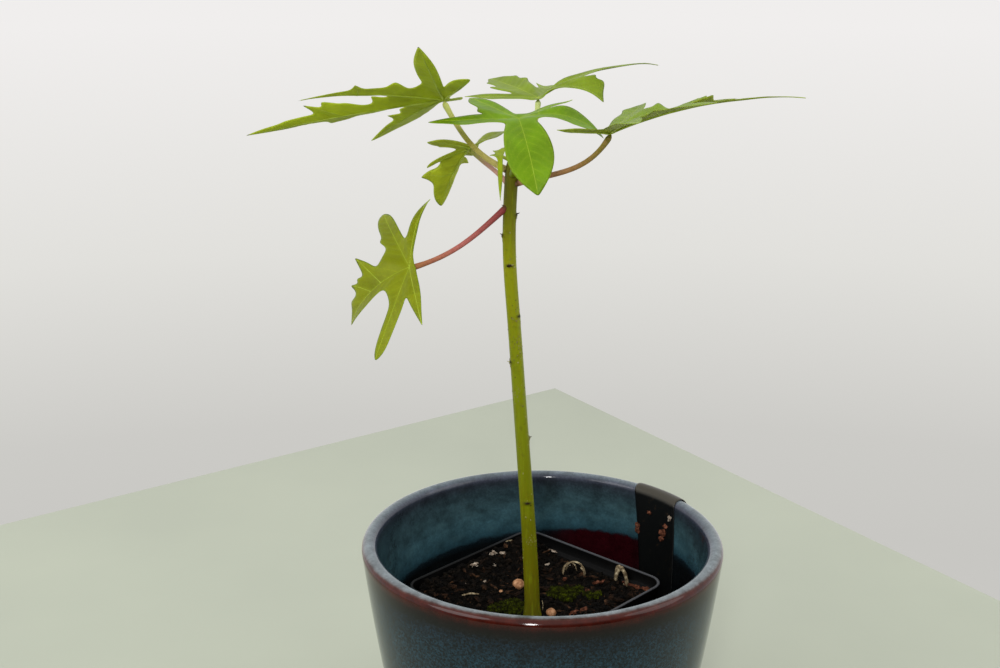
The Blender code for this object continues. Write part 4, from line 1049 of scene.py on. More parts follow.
LEAVES = {
    "left_high": Leaf(0.2515, 175, 0.0243, 0.0253, 22, 62, 0.00095, 191, 0, 22, 0.32, (
        Lobe(-120, 0.019, 0.003, 10, -7),
        Lobe(-65, 0.052, 0.0046, 3, 12, (
            Tooth(1, 0.56, 0.0062, 0.01), Tooth(1, 0.42, 0.0062, 0.016, True),
            Tooth(-1, 0.6, 0.011, 0.018, True)), Shape(right=1.9, left=0.5)),
        Lobe(-17, 0.0727, 0.0046, -2, 5, (
            Tooth(1, 0.665, 0.0106, 0.011, False, 1), Tooth(1, 0.58, 0.011, 0.015, True),
            Tooth(1, 0.48, 0.008, 0.014, True), Tooth(1, 0.34, 0.0095, 0.012, True),
            Tooth(1, 0.78, 0.0042, 0.018, True), Tooth(-1, 0.6, 0.012, 0.018)),
            Shape(twist=7)),
        Lobe(28, 0.0603, 0.0046, 1, 15, (
            Tooth(1, 0.69, 0.0076, 0.009), Tooth(1, 0.44, 0.0086, 0.018, True),
            Tooth(-1, 0.55, 0.009, 0.014)), Shape(fullness=0.8)),
        Lobe(73, 0.0495, 0.005, 3, -5, (), Shape(0.55, 0.5, 1.1, 1, 0.98, 0.5)),
        Lobe(101, 0.0266, 0.004, 0, 1, (), Shape(0.62, 0.6, 1.7, 0.6, 1, 0.5)),
    )),
    "back_high": Leaf(0.2535, 63, 0.0203, 0.0221, 35, 86, 0.0009, 41, 17, -1, 0.32, (
        Lobe(-114, 0.005, 0.0024, 12, 0),
        Lobe(-59, 0.0279, 0.0044, 36, 97, (
            Tooth(1, 0.76, 0.0104, 0.012, True), Tooth(1, 0.88, 0.0092, 0.018, True),
            Tooth(1, 0.6, 0.009, 0.014, True)), Shape(0.6, 0.62, 1.4, 1, 0.5, 1)),
        Lobe(-12, 0.056, 0.0032, 11, 36, (), Shape(0.4, 0.8, 1, 1, 1.6, 0.7)),
        Lobe(30, 0.036, 0.0044, -7, 11, (Tooth(1, 0.6, 0.0075, 0.013),)),
        Lobe(75, 0.041, 0.0054, 6, 10, (
            Tooth(-1, 0.68, 0.0068, 0.012, True), Tooth(-1, 0.54, 0.008, 0.016),
            Tooth(1, 0.76, 0.0062, 0.02, True), Tooth(1, 0.52, 0.0098, 0.018, True))),
        Lobe(115, 0.03, 0.0026, 9, 5, (Tooth(1, 0.6, 0.0045, 0.012, True),)),
    )),
    "right_high": Leaf(0.247, 333, 0.0375, 0.0209, 20, 60, 0.0009, 343, 17, -3, 0.32, (
        Lobe(-114, 0.028, 0.0034, 11, -2),
        Lobe(-64, 0.046, 0.005, 6, 8, (Tooth(1, 0.58, 0.0085, 0.013),)),
        Lobe(-33, 0.052, 0.0048, 7, 12, (
            Tooth(-1, 0.62, 0.009, 0.014), Tooth(1, 0.66, 0.008, 0.013, True))),
        Lobe(8, 0.0683, 0.005, 8, 27, (
            Tooth(1, 0.5, 0.011, 0.016), Tooth(-1, 0.54, 0.0105, 0.015)),
            Shape(0.3, 0.7, 0.5)),
        Lobe(45, 0.055, 0.005, 6, 14, (
            Tooth(1, 0.54, 0.012, 0.016, True), Tooth(1, 0.72, 0.0085, 0.016, True),
            Tooth(-1, 0.6, 0.009, 0.014))),
        Lobe(84, 0.045, 0.005, 9, 1, (
            Tooth(-1, 0.55, 0.0085, 0.013, True), Tooth(1, 0.76, 0.0062, 0.014, True)),
            Shape(fullness=1.1)),
        Lobe(116, 0.013, 0.0032, 10, 4),
    )),
    "front": Leaf(0.25, 276, 0.0191, 0.023, 30, 72, 0.001, 270, -15, 6, 0.16, (
        Lobe(-144, 0.0294, 0.0056, 1, 2, (Tooth(1, 0.5, 0.008, 0.013, True),),
             Shape(0.6, 0.25, 1.2, 1, 0.5, 1)),
        Lobe(-102, 0.0325, 0.0046, 0, 3, (), Shape(0.45, 0.9, 1, 1, 0.6, 1.2, -8)),
        Lobe(9, 0.0345, 0.0086, -3, 51, (), Shape(0.6, 0.4, 1.05, 1, 0.98, 0.94)),
        Lobe(114, 0.037, 0.005, 2, 58, (
            Tooth(-1, 0.5, 0.0062, 0.014, True), Tooth(1, 0.26, 0.0045, 0.007, False, 0.4)),
            Shape(0.5, 0.8, 1.25, 1, 1.3, 0.8, 24)),
        Lobe(137, 0.0287, 0.0013, -5, 4, (), Shape(0.5, 0.3)),
    )),
    "left_back": Leaf(0.2455, 130, 0.0235, 0.0119, 38, 30, 0.0008, 151, -29, 5, 0.24, (
        Lobe(-96, 0.025, 0.0042, 14, 7, (), Shape(twist=30)),
        Lobe(-58, 0.0165, 0.0036, 4, 10),
        Lobe(-23, 0.0345, 0.0054, -7, 26, (
            Tooth(1, 0.68, 0.0098, 0.012), Tooth(-1, 0.62, 0.0122, 0.009)),
             Shape(0.64, 0.75, 1.4, 0.8, 0.62, 1)),
        Lobe(13, 0.0189, 0.003, 9, 15, (), Shape(0.6, 0.8, 1.5, 0.6)),
        Lobe(92, 0.0275, 0.0036, 12, 10, (Tooth(-1, 0.5, 0.0052, 0.009, True),),
             Shape(left=0.65)),
    )),
    "left_low": Leaf(0.2405, 204, 0.039, -0.0198, -38, -10, 0.0009, 179, -27, -34, 0.34, (
        Lobe(-115, 0.0347, 0.0026, 20, 50, (), Shape(0.4, 0.9, 0.95, 1, 0.4, 1)),
        Lobe(-82, 0.0358, 0.0042, 4, 19, (Tooth(1, 0.52, 0.0062, 0.014, True),),
             Shape(0.55, 0.8, 1.6, 0.6, 0.75, 1)),
        Lobe(1, 0.0346, 0.0048, 8, 62, (
            Tooth(-1, 0.51, 0.015, 0.009, False, 0.35), Tooth(-1, 0.69, 0.009, 0.009),
            Tooth(-1, 0.6, 0.0092, 0.009, True), Tooth(-1, 0.81, 0.0055, 0.012, True))),
        Lobe(56, 0.0382, 0.0042, 1, 8, (), Shape(0.62, 0.8, 1.6, 0.5, 0.45, 1)),
        Lobe(87, 0.0285, 0.0034, 7, 15, (), Shape(0.3, 0.85, 0.9, 1, 1, 0.75)),
    )),
    "young": Leaf(0.2545, 240, 0.009, 0.0045, 35, 20, 0.0006, 176, 1, -18, 0.24, (
        Lobe(-99, 0.008, 0.0012, 2, 17),
        Lobe(-63, 0.007, 0.001, -2, 24),
        Lobe(47, 0.0052, 0.0012, 20, 8),
        Lobe(94, 0.0205, 0.001, -11, 28, (), Shape(0.3, 0.9, 0.9)),
    )),
}
print(len(LEAVES), "leaves with", sum(len(leaf.lobes) for leaf in LEAVES.values()), "lobes")

# %% [markdown]
# ## Stalks
#
# A leaf stalk is a round tube that swells where it leaves the stem and where it meets the blade.
# Geometry Nodes turn a line of edges into a curve and sweep a circle along it, scaled at each
# point by an attribute. The veins further on are made by the same tree.

# %% Tube tree
tubes, node, given = new_tree("Tube along a path", Sides="Int", Material="Material")
path = node("GeometryNodeMeshToCurve", Mesh=given["Geometry"])
circle = node("GeometryNodeCurvePrimitiveCircle", Resolution=given["Sides"], Radius=1.0)
width = node("GeometryNodeInputNamedAttribute", Name="half_width", data_type="FLOAT")
tube = node("GeometryNodeCurveToMesh", Curve=path, Profile_Curve=circle, Scale=width, Fill_Caps=True)
smooth = node("GeometryNodeSetShadeSmooth", Geometry=tube)
real = node("GeometryNodeRealizeInstances", Geometry=smooth)
finished = node("GeometryNodeSetMaterial", Geometry=real, Material=given["Material"])
node("NodeGroupOutput", finished)


def add_tubes(name, paths, sides, material):
    """One piece of tubes. A path is its points, their half widths and how far along each is."""
    points, edges, widths, along = [], [], [], []
    for path, half_widths, shares in paths:
        edges += [(len(points) + i, len(points) + i + 1) for i in range(len(path) - 1)]
        points += [tuple(p) for p in path]
        widths += list(half_widths)
        along += list(shares)
    mesh = bpy.data.meshes.new(name)
    mesh.from_pydata(points, edges, [])
    piece = add_object(name, mesh)
    set_attribute(piece, "half_width", widths)
    set_attribute(piece, "along", along)
    return run_tree(piece, tubes, Sides=sides, Material=material)


def slope_vector(azimuth, slope):
    a, s = math.radians(azimuth), math.radians(slope)
    return np.array((math.cos(a) * math.cos(s), math.sin(a) * math.cos(s), math.sin(s)))


def heel_of(leaf):
    """Where the leaf's ribs meet."""
    return stem_at(leaf.node) + slope_vector(leaf.azimuth, 0) * leaf.reach + np.array((0, 0, leaf.rise))


def blade_frame(leaf):
    """The blade's forward, left and up directions."""
    forward = slope_vector(leaf.heading, leaf.pitch)
    level = slope_vector(leaf.heading + 90, 0)
    up = np.cross(forward, level)
    roll = math.radians(leaf.roll)
    left = level * math.cos(roll) + up * math.sin(roll)
    return forward, left, np.cross(forward, left)


# %% Stalks
PETIOLE_FLARE = 1.45
PETIOLE_PULL = 0.4
PETIOLE_POINTS = 60
PETIOLE_SIDES = 20
# Colours at the stem, halfway and at the blade
PETIOLE_COLOURS = {
    "left_high": ("#b5a665", "#8b8532", "#b9bf6a"),
    # back_high's stalk is pale at the blade, lightened further there as painted light against the
    # blade's shade
    "back_high": ("#6f7c1c", "#a0ae4c", "#c6d188"),
    "right_high": ("#a87a5c", "#8e6a3e", "#6f6a1c"),
    "front": ("#5f6c0c", "#7f941a", "#98ac38"),
    "left_back": ("#b08474", "#b48c7c", "#8f9a3c"),
    "left_low": ("#7a3434", "#a45f58", "#94643e"),
    "young": ("#7f8a14", "#93a01c", "#9fae28"),
}


def petiole_path(leaf):
    start, heel = stem_at(leaf.node), heel_of(leaf)
    pull = np.linalg.norm(heel - start) * PETIOLE_PULL
    end = heel - blade_frame(leaf)[2] * leaf.radius * 0.75
    bends = (start, start + slope_vector(leaf.azimuth, leaf.slope_out) * pull,
             end - slope_vector(leaf.azimuth, leaf.slope_in) * pull, end)
    shares = np.linspace(0, 1, PETIOLE_POINTS)
    widths = leaf.radius * (1 + (PETIOLE_FLARE - 1) * (1 - shares) ** 4)
    widths = widths * (1 + 0.18 * np.exp(-((shares - 0.96) / 0.06) ** 2))
    widths = widths * np.sqrt(np.clip((1.004 - shares) / 0.03, 0.02, 1))
    return bezier(bends, shares), widths, shares


def petiole_material(name, colours):
    """Smooth stalk skin, tinted along its length, with faint lengthwise streaks."""
    material, node, shader, place = new_material(name, Roughness=0.40, IOR=1.42,
                                                 Specular_IOR_Level=0.15)
    along = node("Attribute", attribute_name="along").outputs["Fac"]
    tint = node("ValToRGB", along, stops=(
        (0.04, "#2a1a0a"), (0.06, "#4a3518"), (0.085, colours[0]), (0.55, colours[1]),
        (0.97, colours[2])))
    flecks = node("TexNoise", Vector=place, Scale=1 / (1.5 * MM), Detail=3.0)
    share = node("MapRange", flecks, 0.45, 0.7, 0.0, 0.35)
    feed(shader, Base_Color=node("Mix", share, tint, colours[0], data_type="RGBA"))
    return material


for name, leaf in LEAVES.items():
    skin_tint = petiole_material("leaf_stalk_" + name, PETIOLE_COLOURS[name])
    stalk = add_tubes("stalk_" + name, [petiole_path(leaf)], PETIOLE_SIDES, skin_tint)
    seat(stalk, "petiole_skin", "petiole_" + name)

# %% [markdown]
# ## Blades
#
# A blade is worked out flat first: lobes, teeth and the web between them are joined to one
# outline, spaced evenly, with rounded notches. Then each lobe is bent along its own midrib, folded
# a little along it, and given its real thickness of a quarter millimetre.

# %% Flat outlines
SPACING = 0.8 * MM
YOUNG_SPACING = 0.45 * MM
HEEL_RADIUS = 1.4 * MM
HEEL_SIDES = 20
MERGE = 1e-7
SAME_POINT = 1e-5
NOTCH_ROUND = 1.5 * MM        # how far the smoothing of the outline reaches
LOBE_STEPS = 40
TOOTH_BEND = 0.55
TOOTH_BACK_BULGE = 0.10
TOOTH_FRONT_BULGE = 0.05
WEB_ON_RIB = 0.15


def heading_vector(degrees):
    return np.array((math.cos(math.radians(degrees)), math.sin(math.radians(degrees))))


def side_vector(degrees, side=1):
    return heading_vector(degrees + 90) * side


def midrib_end(lobe):
    return heading_vector(lobe.heading) * lobe.length


def lobe_shape(lobe):
    """Flat outline of one lobe without its teeth."""
    form = lobe.shape
    u = np.arange(LOBE_STEPS) / LOBE_STEPS
    widening = form.neck + (1 - form.neck) * np.sin(math.pi / 2 * u / form.widest)
    narrowing = np.maximum(0, u - form.widest) / (1 - form.widest)
    narrowed = np.cos(math.pi / 2 * narrowing ** form.fullness) ** form.blunt
    share = np.where(u < form.widest, widening, narrowed)
    spine = u[:, None] * midrib_end(lobe)
    across = side_vector(lobe.heading) * lobe.half_width
    right = spine - share[:, None] * across * form.right
    left = spine + share[:, None] * across * form.left
    return np.concatenate((right, [midrib_end(lobe)], left[::-1]))


def tooth_tip(lobe, tooth):
    return midrib_end(lobe) * tooth.place + side_vector(lobe.heading, tooth.side) * tooth.reach


def tooth_shape(lobe, tooth):
    """Flat outline of one tooth, rooted on the midrib and leaning towards the lobe's tip."""
    along = heading_vector(lobe.heading)
    across = side_vector(lobe.heading, tooth.side)
    tip = tooth_tip(lobe, tooth)
    back = tip - across * tooth.reach - along * (tooth.root / 2 + tooth.reach * tooth.sweep)
    front = back + along * tooth.root
    back_bend = back + (tip - back) * TOOTH_BEND + across * tooth.reach * TOOTH_BACK_BULGE
    front_bend = front + (tip - front) * TOOTH_BEND - along * tooth.root * TOOTH_FRONT_BULGE
    return np.array((back, back_bend, tip, front_bend, front))


def web_shape(leaf):
    """The web between the lobes: out along each midrib and in again at each notch."""
    points = [np.zeros(2)]
    for lobe, after in zip(leaf.lobes, leaf.lobes[1:]):
        points.append(midrib_end(lobe) * (leaf.web + WEB_ON_RIB))
        reach = leaf.web * min(lobe.length, after.length)
        points.append(heading_vector((lobe.heading + after.heading) / 2) * reach)
    points.append(midrib_end(leaf.lobes[-1]) * (leaf.web + WEB_ON_RIB))
    return np.array(points)


def anticlockwise(points):
    x, y = points.T
    area = np.sum(x * np.roll(y, -1) - np.roll(x, -1) * y)
    return points if area > 0 else points[::-1]


def joined_outline(shapes):
    """The outer boundary of flat shapes that overlap."""
    verts, shape_faces = [], []
    for shape in shapes:
        shape_faces.append(list(range(len(verts), len(verts) + len(shape))))
        verts += [Vector(p) for p in anticlockwise(shape)]
    verts, _, triangles, *_ = delaunay_2d_cdt(verts, [], shape_faces, 1, MERGE)
    sides = [pair for t in triangles for pair in zip(t, t[1:] + t[:1])]
    follow = {}
    for a, b in set(sides) - {(b, a) for a, b in sides}:
        follow.setdefault(a, []).append(b)
    loops = []
    while follow:
        start = min(follow)
        loop = [start]
        while True:
            here = loop[-1]
            following = follow[here].pop()
            if not follow[here]:
                del follow[here]
            if following == start:
                break
            loop.append(following)
        loops.append(np.array([tuple(verts[i]) for i in loop]))
    return max(loops, key=len)


# %% [markdown]
# The outline is walked in even steps from tip to tip, so that every tip keeps its place, then
# smoothed. The last smoothings also touch the tips, because real tips are a little blunt.

# %% Even outline
BLUNTINGS = 2
BATCH = 1500                  # points that are measured at a time, to save memory


def even_outline(outline, tips, spacing):
    kept = [i for i, p in enumerate(outline) if np.min(np.hypot(*(tips - p).T)) < SAME_POINT]
    result, fixed = [], []
    for first, last in zip(kept, kept[1:] + [kept[0] + len(outline)]):
        run = outline[np.arange(first, last + 1) % len(outline)]
        length = walked(run)[-1]
        even = np.linspace(0, length, max(2, round(length / spacing)), endpoint=False)
        result.append(spots_along(run, even))
        fixed += [True] + [False] * (len(even) - 1)
    result = np.concatenate(result)
    fixed = np.array(fixed)[:, None]
    smoothings = round(2 * (NOTCH_ROUND / spacing) ** 2)
    for k in range(smoothings + BLUNTINGS):
        softer = (np.roll(result, 1, axis=0) + 2 * result + np.roll(result, -1, axis=0)) / 4
        result = np.where(fixed & (k < smoothings), result, softer)
    return result


def blade_outline(leaf, spacing):
    """The flat blade's edge, from its lobes, teeth, web and heel."""
    heel = np.array([heading_vector(360 * i / HEEL_SIDES) * HEEL_RADIUS for i in range(HEEL_SIDES)])
    shapes = [web_shape(leaf), heel]
    tips = []
    for lobe in leaf.lobes:
        shapes.append(lobe_shape(lobe))
        tips.append(midrib_end(lobe))
        for tooth in lobe.teeth:
            shapes.append(tooth_shape(lobe, tooth))
            if not tooth.soft:
                tips.append(tooth_tip(lobe, tooth))
    return even_outline(joined_outline(shapes), np.array(tips), spacing)


def line_distance(points, starts, ends):
    """Each point's distance to the nearest of some straight lines."""
    starts = np.asarray(starts)
    lines = np.asarray(ends) - starts
    lengths = np.maximum(np.sum(lines ** 2, axis=1), MERGE ** 2)
    nearest = []
    for some in np.array_split(points, len(points) // BATCH + 1):
        x, y = (some[:, None, k] - starts[:, k] for k in range(2))
        share = np.clip((x * lines[:, 0] + y * lines[:, 1]) / lengths, 0, 1)
        gaps = (x - share * lines[:, 0]) ** 2 + (y - share * lines[:, 1]) ** 2
        nearest.append(np.sqrt(gaps.min(axis=1)))
    return np.concatenate(nearest)


def edge_distance(points, outline):
    return line_distance(points, outline, np.roll(outline, -1, axis=0))


def rib_distance(points, lobe):
    return line_distance(points, [np.zeros(2)], [midrib_end(lobe)])


def inside(points, outline):
    """Which points lie inside the outline: their ray to the right crosses it an odd number of times."""
    ax, ay = outline.T
    bx, by = np.roll(outline, -1, axis=0).T
    slant = (bx - ax) / np.where(by == ay, MERGE, by - ay)
    hits = []
    for some in np.array_split(points, len(points) // BATCH + 1):
        x, y = some[:, 0, None], some[:, 1, None]
        crosses = ((ay > y) != (by > y)) & (x < ax + (y - ay) * slant)
        hits.append(crosses.sum(axis=1) % 2 == 1)
    return np.concatenate(hits)


# %% [markdown]
# ## Veins
#
# A midrib runs up each lobe, and side veins leave it every few millimetres at about 50 degrees and
# bend towards the tip. Each tooth has a stronger vein of its own. They are walked step by step on
# the flat blade and bent with it later.

# %% Vein paths
VEIN_PITCH = 3.6 * MM
VEIN_ANGLE = 52
VEIN_TURN = 1.6               # degrees that a side vein turns to the tip with each step
VEIN_STEP = 0.6 * MM
VEIN_STEPS = 60               # the most steps that a side vein takes
SHORT_VEIN = 3                # a side vein with no more points than this is left out
TOOTH_VEIN_POINTS = 14
VEIN_CLEAR = 0.7 * MM         # side veins stop this far from the edge
TOOTH_CLEAR = 2.2 * MM        # and keep this far from a tooth's own vein
Vein = namedtuple("Vein", "points strength")


def side_vein(start, lobe, side, leaf, outline):
    """A side vein's points, walked until it nears the edge or another lobe's midrib."""
    others = [other for other in leaf.lobes if other is not lobe]
    path = [start]
    heading = lobe.heading + side * VEIN_ANGLE
    for _ in range(VEIN_STEPS):
        following = path[-1] + heading_vector(heading) * VEIN_STEP
        spot = following[None]
        own = rib_distance(spot, lobe)[0]
        on_blade = inside(spot, outline)[0] and edge_distance(spot, outline)[0] >= VEIN_CLEAR
        if not on_blade or min(rib_distance(spot, other)[0] for other in others) < own:
            break
        path.append(following)
        heading -= side * VEIN_TURN
    return np.array(path)


def blade_veins(leaf, outline, pitch):
    veins = []
    for lobe in leaf.lobes:
        shares = np.linspace(0, 0.97, max(6, round(lobe.length / VEIN_STEP / 2)))
        veins.append(Vein(shares[:, None] * midrib_end(lobe), "midrib"))
        claimed = {1: [], -1: []}
        for tooth in [t for t in lobe.teeth if not t.soft]:
            root = lobe.length * tooth.place - tooth.reach * tooth.sweep * 1.1
            start = heading_vector(lobe.heading) * root
            shares = np.linspace(0, 0.93, TOOTH_VEIN_POINTS)[:, None]
            bend = side_vector(lobe.heading, tooth.side) * tooth.reach * 0.06 * np.sin(math.pi * shares)
            veins.append(Vein(start + shares * (tooth_tip(lobe, tooth) - start) + bend, "tooth"))
            claimed[tooth.side].append(root)
        places = np.arange(pitch * 1.3, lobe.length * 0.93, pitch / 2)
        for k, place in enumerate(places):
            side = 1 if k % 2 else -1
            if all(abs(place - root) > TOOTH_CLEAR for root in claimed[side]):
                path = side_vein(heading_vector(lobe.heading) * place, lobe, side, leaf, outline)
                if len(path) > SHORT_VEIN:
                    veins.append(Vein(path, "side"))
    return veins


# %% [markdown]
# ## Bending
#
# A point of the flat blade follows the bend of the nearest lobe, and between two lobes it takes a
# mix of both. The blade dips along each vein, rises between them and undulates near its edge,
# which is what breaks up the light on a real leaf.

# %% Bend a blade
FOLD = math.radians(13)
FOLD_ROUND = 0.7 * MM
RIB_BLEND = 1.6 * MM
BLADE_THICK = 0.26 * MM
QUILT = 0.30 * MM
QUILT_WIDTH = 1.5 * MM
WAVE = 0.45 * MM
WAVE_LENGTH = 11 * MM
NUDGE = 0.05 * MM             # step for measuring the blade's slope


def bend(flat, leaf):
    """Every flat point placed, a mix of the bends of the lobes near it."""
    forward, left, up = blade_frame(leaf)
    total = np.zeros((len(flat), 3))
    weights = np.zeros(len(flat))
    for lobe in leaf.lobes:
        hx, hy = heading_vector(lobe.heading)
        along = forward * hx + left * hy
        across = left * hx - forward * hy
        s = flat @ (hx, hy)
        t = flat[:, 1] * hx - flat[:, 0] * hy
        lift, droop = math.radians(lobe.lift), math.radians(lobe.droop) / lobe.length
        slope = lift - droop * np.maximum(0.0, s)
        out, rise = s * math.cos(lift), s * math.sin(lift)
        if droop:
            out = np.where(s > 0, (math.sin(lift) - np.sin(slope)) / droop, out)
            rise = np.where(s > 0, (np.cos(slope) - math.cos(lift)) / droop, rise)
        normal = up * np.cos(slope)[:, None] - along * np.sin(slope)[:, None]
        fold = (np.hypot(t, FOLD_ROUND) - FOLD_ROUND) * math.sin(FOLD)
        twist = math.radians(lobe.shape.twist) * np.clip(s / lobe.length * 2, 0, 1)
        level = t * math.cos(FOLD) * np.cos(twist) - fold * np.sin(twist)
        raised = fold * np.cos(twist) + t * math.cos(FOLD) * np.sin(twist)
        placed = along * out[:, None] + up * rise[:, None]
        placed += across * level[:, None] + normal * raised[:, None]
        near = 1 / (rib_distance(flat, lobe) ** 2 + RIB_BLEND ** 2) ** 2
        total += placed * near[:, None]
        weights += near
    return heel_of(leaf) + total / weights[:, None]


def facing(flat, leaf):
    """The blade's normal at every flat point."""
    right = np.array((NUDGE, 0.0))
    ahead = np.array((0.0, NUDGE))
    normal = np.cross(bend(flat + right, leaf) - bend(flat - right, leaf),
                      bend(flat + ahead, leaf) - bend(flat - ahead, leaf))
    return normal / np.linalg.norm(normal, axis=1)[:, None]


def relief(flat, leaf, outline, veins):
    """How far each point stands above the plain bent blade, and how near it is to a vein."""
    starts = np.concatenate([vein.points[:-1] for vein in veins])
    ends = np.concatenate([vein.points[1:] for vein in veins])
    to_vein = line_distance(flat, starts, ends)
    to_edge = edge_distance(flat, outline)
    quilting = QUILT * (1 - np.exp(-(to_vein / QUILT_WIDTH) ** 2)) * np.clip(to_edge / (2 * MM), 0, 1)
    waves = np.array([noise.noise(Vector((x, y, leaf.heading * MM)) / WAVE_LENGTH) for x, y in flat])
    edgewards = np.exp(-to_edge / (3 * MM))
    return quilting + WAVE * waves * (0.3 + edgewards), to_vein, to_edge


# %% [markdown]
# The inside of the outline is filled with an even grid of points and cut into triangles. The
# upper and the lower skin share the points on the edge, so the blade thins out to its margin.

# %% Blade mesh
ROW_STEP = math.sqrt(3) / 2
VEIN_REACH = 0.45 * MM                    # how far the paler colour spreads from veins and edges
MARGIN_REACH = 0.4 * MM


def flat_triangles(leaf, outline, spacing):
    size = max(lobe.length for lobe in leaf.lobes) * 1.1
    rows = np.arange(-size, size, spacing * ROW_STEP)
    columns = np.arange(-size, size, spacing)
    grid = np.array([(x + spacing / 2 * (k % 2), y) for k, y in enumerate(rows) for x in columns])
    grid = grid[np.hypot(*grid.T) < size]
    grid = grid[inside(grid, outline)]
    grid = grid[edge_distance(grid, outline) > spacing * 0.5]
    ribs = [(np.zeros(2), midrib_end(lobe) * 0.96) for lobe in leaf.lobes]
    grid = grid[line_distance(grid, *zip(*ribs)) > spacing * 0.45]
    points = [Vector(p) for p in outline] + [Vector((0.0, 0.0))]
    edges = []
    for _, end in ribs:
        steps = max(3, round(float(np.hypot(*end)) / spacing))
        last = len(outline)
        for i in range(1, steps + 1):
            edges.append((last, len(points)))
            last = len(points)
            points.append(Vector(end * i / steps))
    points += [Vector(p) for p in grid]
    border = list(range(len(outline)))
    points, _, triangles, *_ = delaunay_2d_cdt(points, edges, [border], 1, MERGE)
    return np.array([tuple(p) for p in points]), [tuple(t) for t in triangles]


def blade_skins(leaf, outline, veins, spacing):
    """Points, faces, which faces are the lower skin, and each point's nearness to vein and edge."""
    flat, triangles = flat_triangles(leaf, outline, spacing)
    height, to_vein, to_edge = relief(flat, leaf, outline, veins)
    normal = facing(flat, leaf)
    middle = bend(flat, leaf) + normal * height[:, None]
    sides = [pair for t in triangles for pair in zip(t, t[1:] + t[:1])]
    rim = {a for a, b in set(sides) - {(b, a) for a, b in sides}}
    half = np.where(np.isin(np.arange(len(flat)), list(rim)), 0.0, BLADE_THICK / 2)[:, None]
    below = np.arange(len(flat))
    inner = np.array(sorted(set(range(len(flat))) - rim))
    below[inner] = len(flat) + np.arange(len(inner))
    points = np.concatenate((middle + normal * half, (middle - normal * half)[inner]))
    faces = triangles + [tuple(int(below[i]) for i in t[::-1]) for t in triangles]
    under = [0] * len(triangles) + [1] * len(triangles)
    nearness = [np.exp(-(to_vein / VEIN_REACH) ** 2), np.exp(-(to_edge / MARGIN_REACH) ** 2)]
    return points, faces, under, *[np.concatenate((near, near[inner])) for near in nearness]


# %% [markdown]
# ## Leaf skins
#
# A papaya leaf is satin above, with a thin wax, and paler and duller below, and it scatters some
# light under its surface. Each leaf has its own green, matched to the photo, with faint
# mottling, paler lines along the veins and a paler margin.

# %% Leaf materials
LEAF_GREENS = {               # upper side, lower side
    "left_high": ("#6f8708", "#9aa91c"),
    "back_high": ("#697d10", "#6f8414"),
    "right_high": ("#667e0c", "#7c8a1c"),
    "front": ("#5b7c03", "#729010"),
    "left_back": ("#7c8a10", "#98a31e"),
    "left_low": ("#6d7404", "#80860c"),
    "young": ("#8c9a12", "#98a82c"),
}


def leaf_material(name, green, vein_green, margin_green, roughness):
    material, node, shader, place = new_material(
        name, Roughness=roughness, IOR=1.42, Specular_IOR_Level=0.14, Subsurface_Weight=0.12,
        Subsurface_Radius=(0.6, 1.0, 0.25), Subsurface_Scale=0.5 * MM)
    clouds = node("TexNoise", Vector=place, Scale=1 / (9 * MM), Detail=4.0)
    shade = node("MapRange", clouds, 0.3, 0.7, 0.80, 1.22)
    colour = node("VectorMath", linear(green)[:3], shade, operation="SCALE")
    net = node("TexVoronoi", Vector=place, Scale=1 / (1.3 * MM), feature="DISTANCE_TO_EDGE")
    layers = [(node("MapRange", net, 0.0, 0.09, 0.10, 0.0), vein_green)]
    for attribute, strength, tone in (("vein", 0.12, vein_green), ("margin", 0.45, margin_green)):
        near = node("Attribute", attribute_name=attribute).outputs["Fac"]
        layers.append((node("Math", near, strength, operation="MULTIPLY"), tone))
    for share, tone in layers:
        colour = node("Mix", share, colour, tone, data_type="RGBA")
    grain = node("Bump", Height=clouds, Strength=0.2, Distance=0.3 * MM)
    feed(shader, Base_Color=colour, Normal=grain)
    return material


# Ribs are paler and waxier than the blade, because they hold little leaf green
rib_skin = bits_material("leaf_midribs", 4 * MM, (
    (0.3, "#8a9c28"), (0.5, "#98a935"), (0.7, "#a7b648")), Roughness=0.45)

# %% Blades and veins
# Half width at the start and at the end
VEIN_WIDTHS = {"midrib": (0.42 * MM, 0.14 * MM), "tooth": (0.22 * MM, 0.13 * MM),
               "side": (0.17 * MM, 0.135 * MM)}
VEIN_SIDES = 8


def vein_tubes(leaf, outline, veins, width_share):
    """Each vein's bent path, half widths and shares, sunk so that it only just shows above."""
    flat = np.concatenate([vein.points for vein in veins])
    height, _, _ = relief(flat, leaf, outline, veins)
    shares = np.concatenate([np.linspace(0, 1, len(vein.points)) for vein in veins])
    first, last = (np.concatenate([np.full(len(vein.points), VEIN_WIDTHS[vein.strength][k])
                                   for vein in veins]) for k in range(2))
    widths = np.maximum((first + (last - first) * shares ** 0.8) * width_share, 0.12 * MM)
    drop = np.minimum(0.0, BLADE_THICK / 2 + 0.03 * MM - widths)
    path = bend(flat, leaf) + facing(flat, leaf) * (height + drop)[:, None]
    cuts = np.cumsum([len(vein.points) for vein in veins])[:-1]
    return list(zip(*(np.split(values, cuts) for values in (path, widths, shares))))


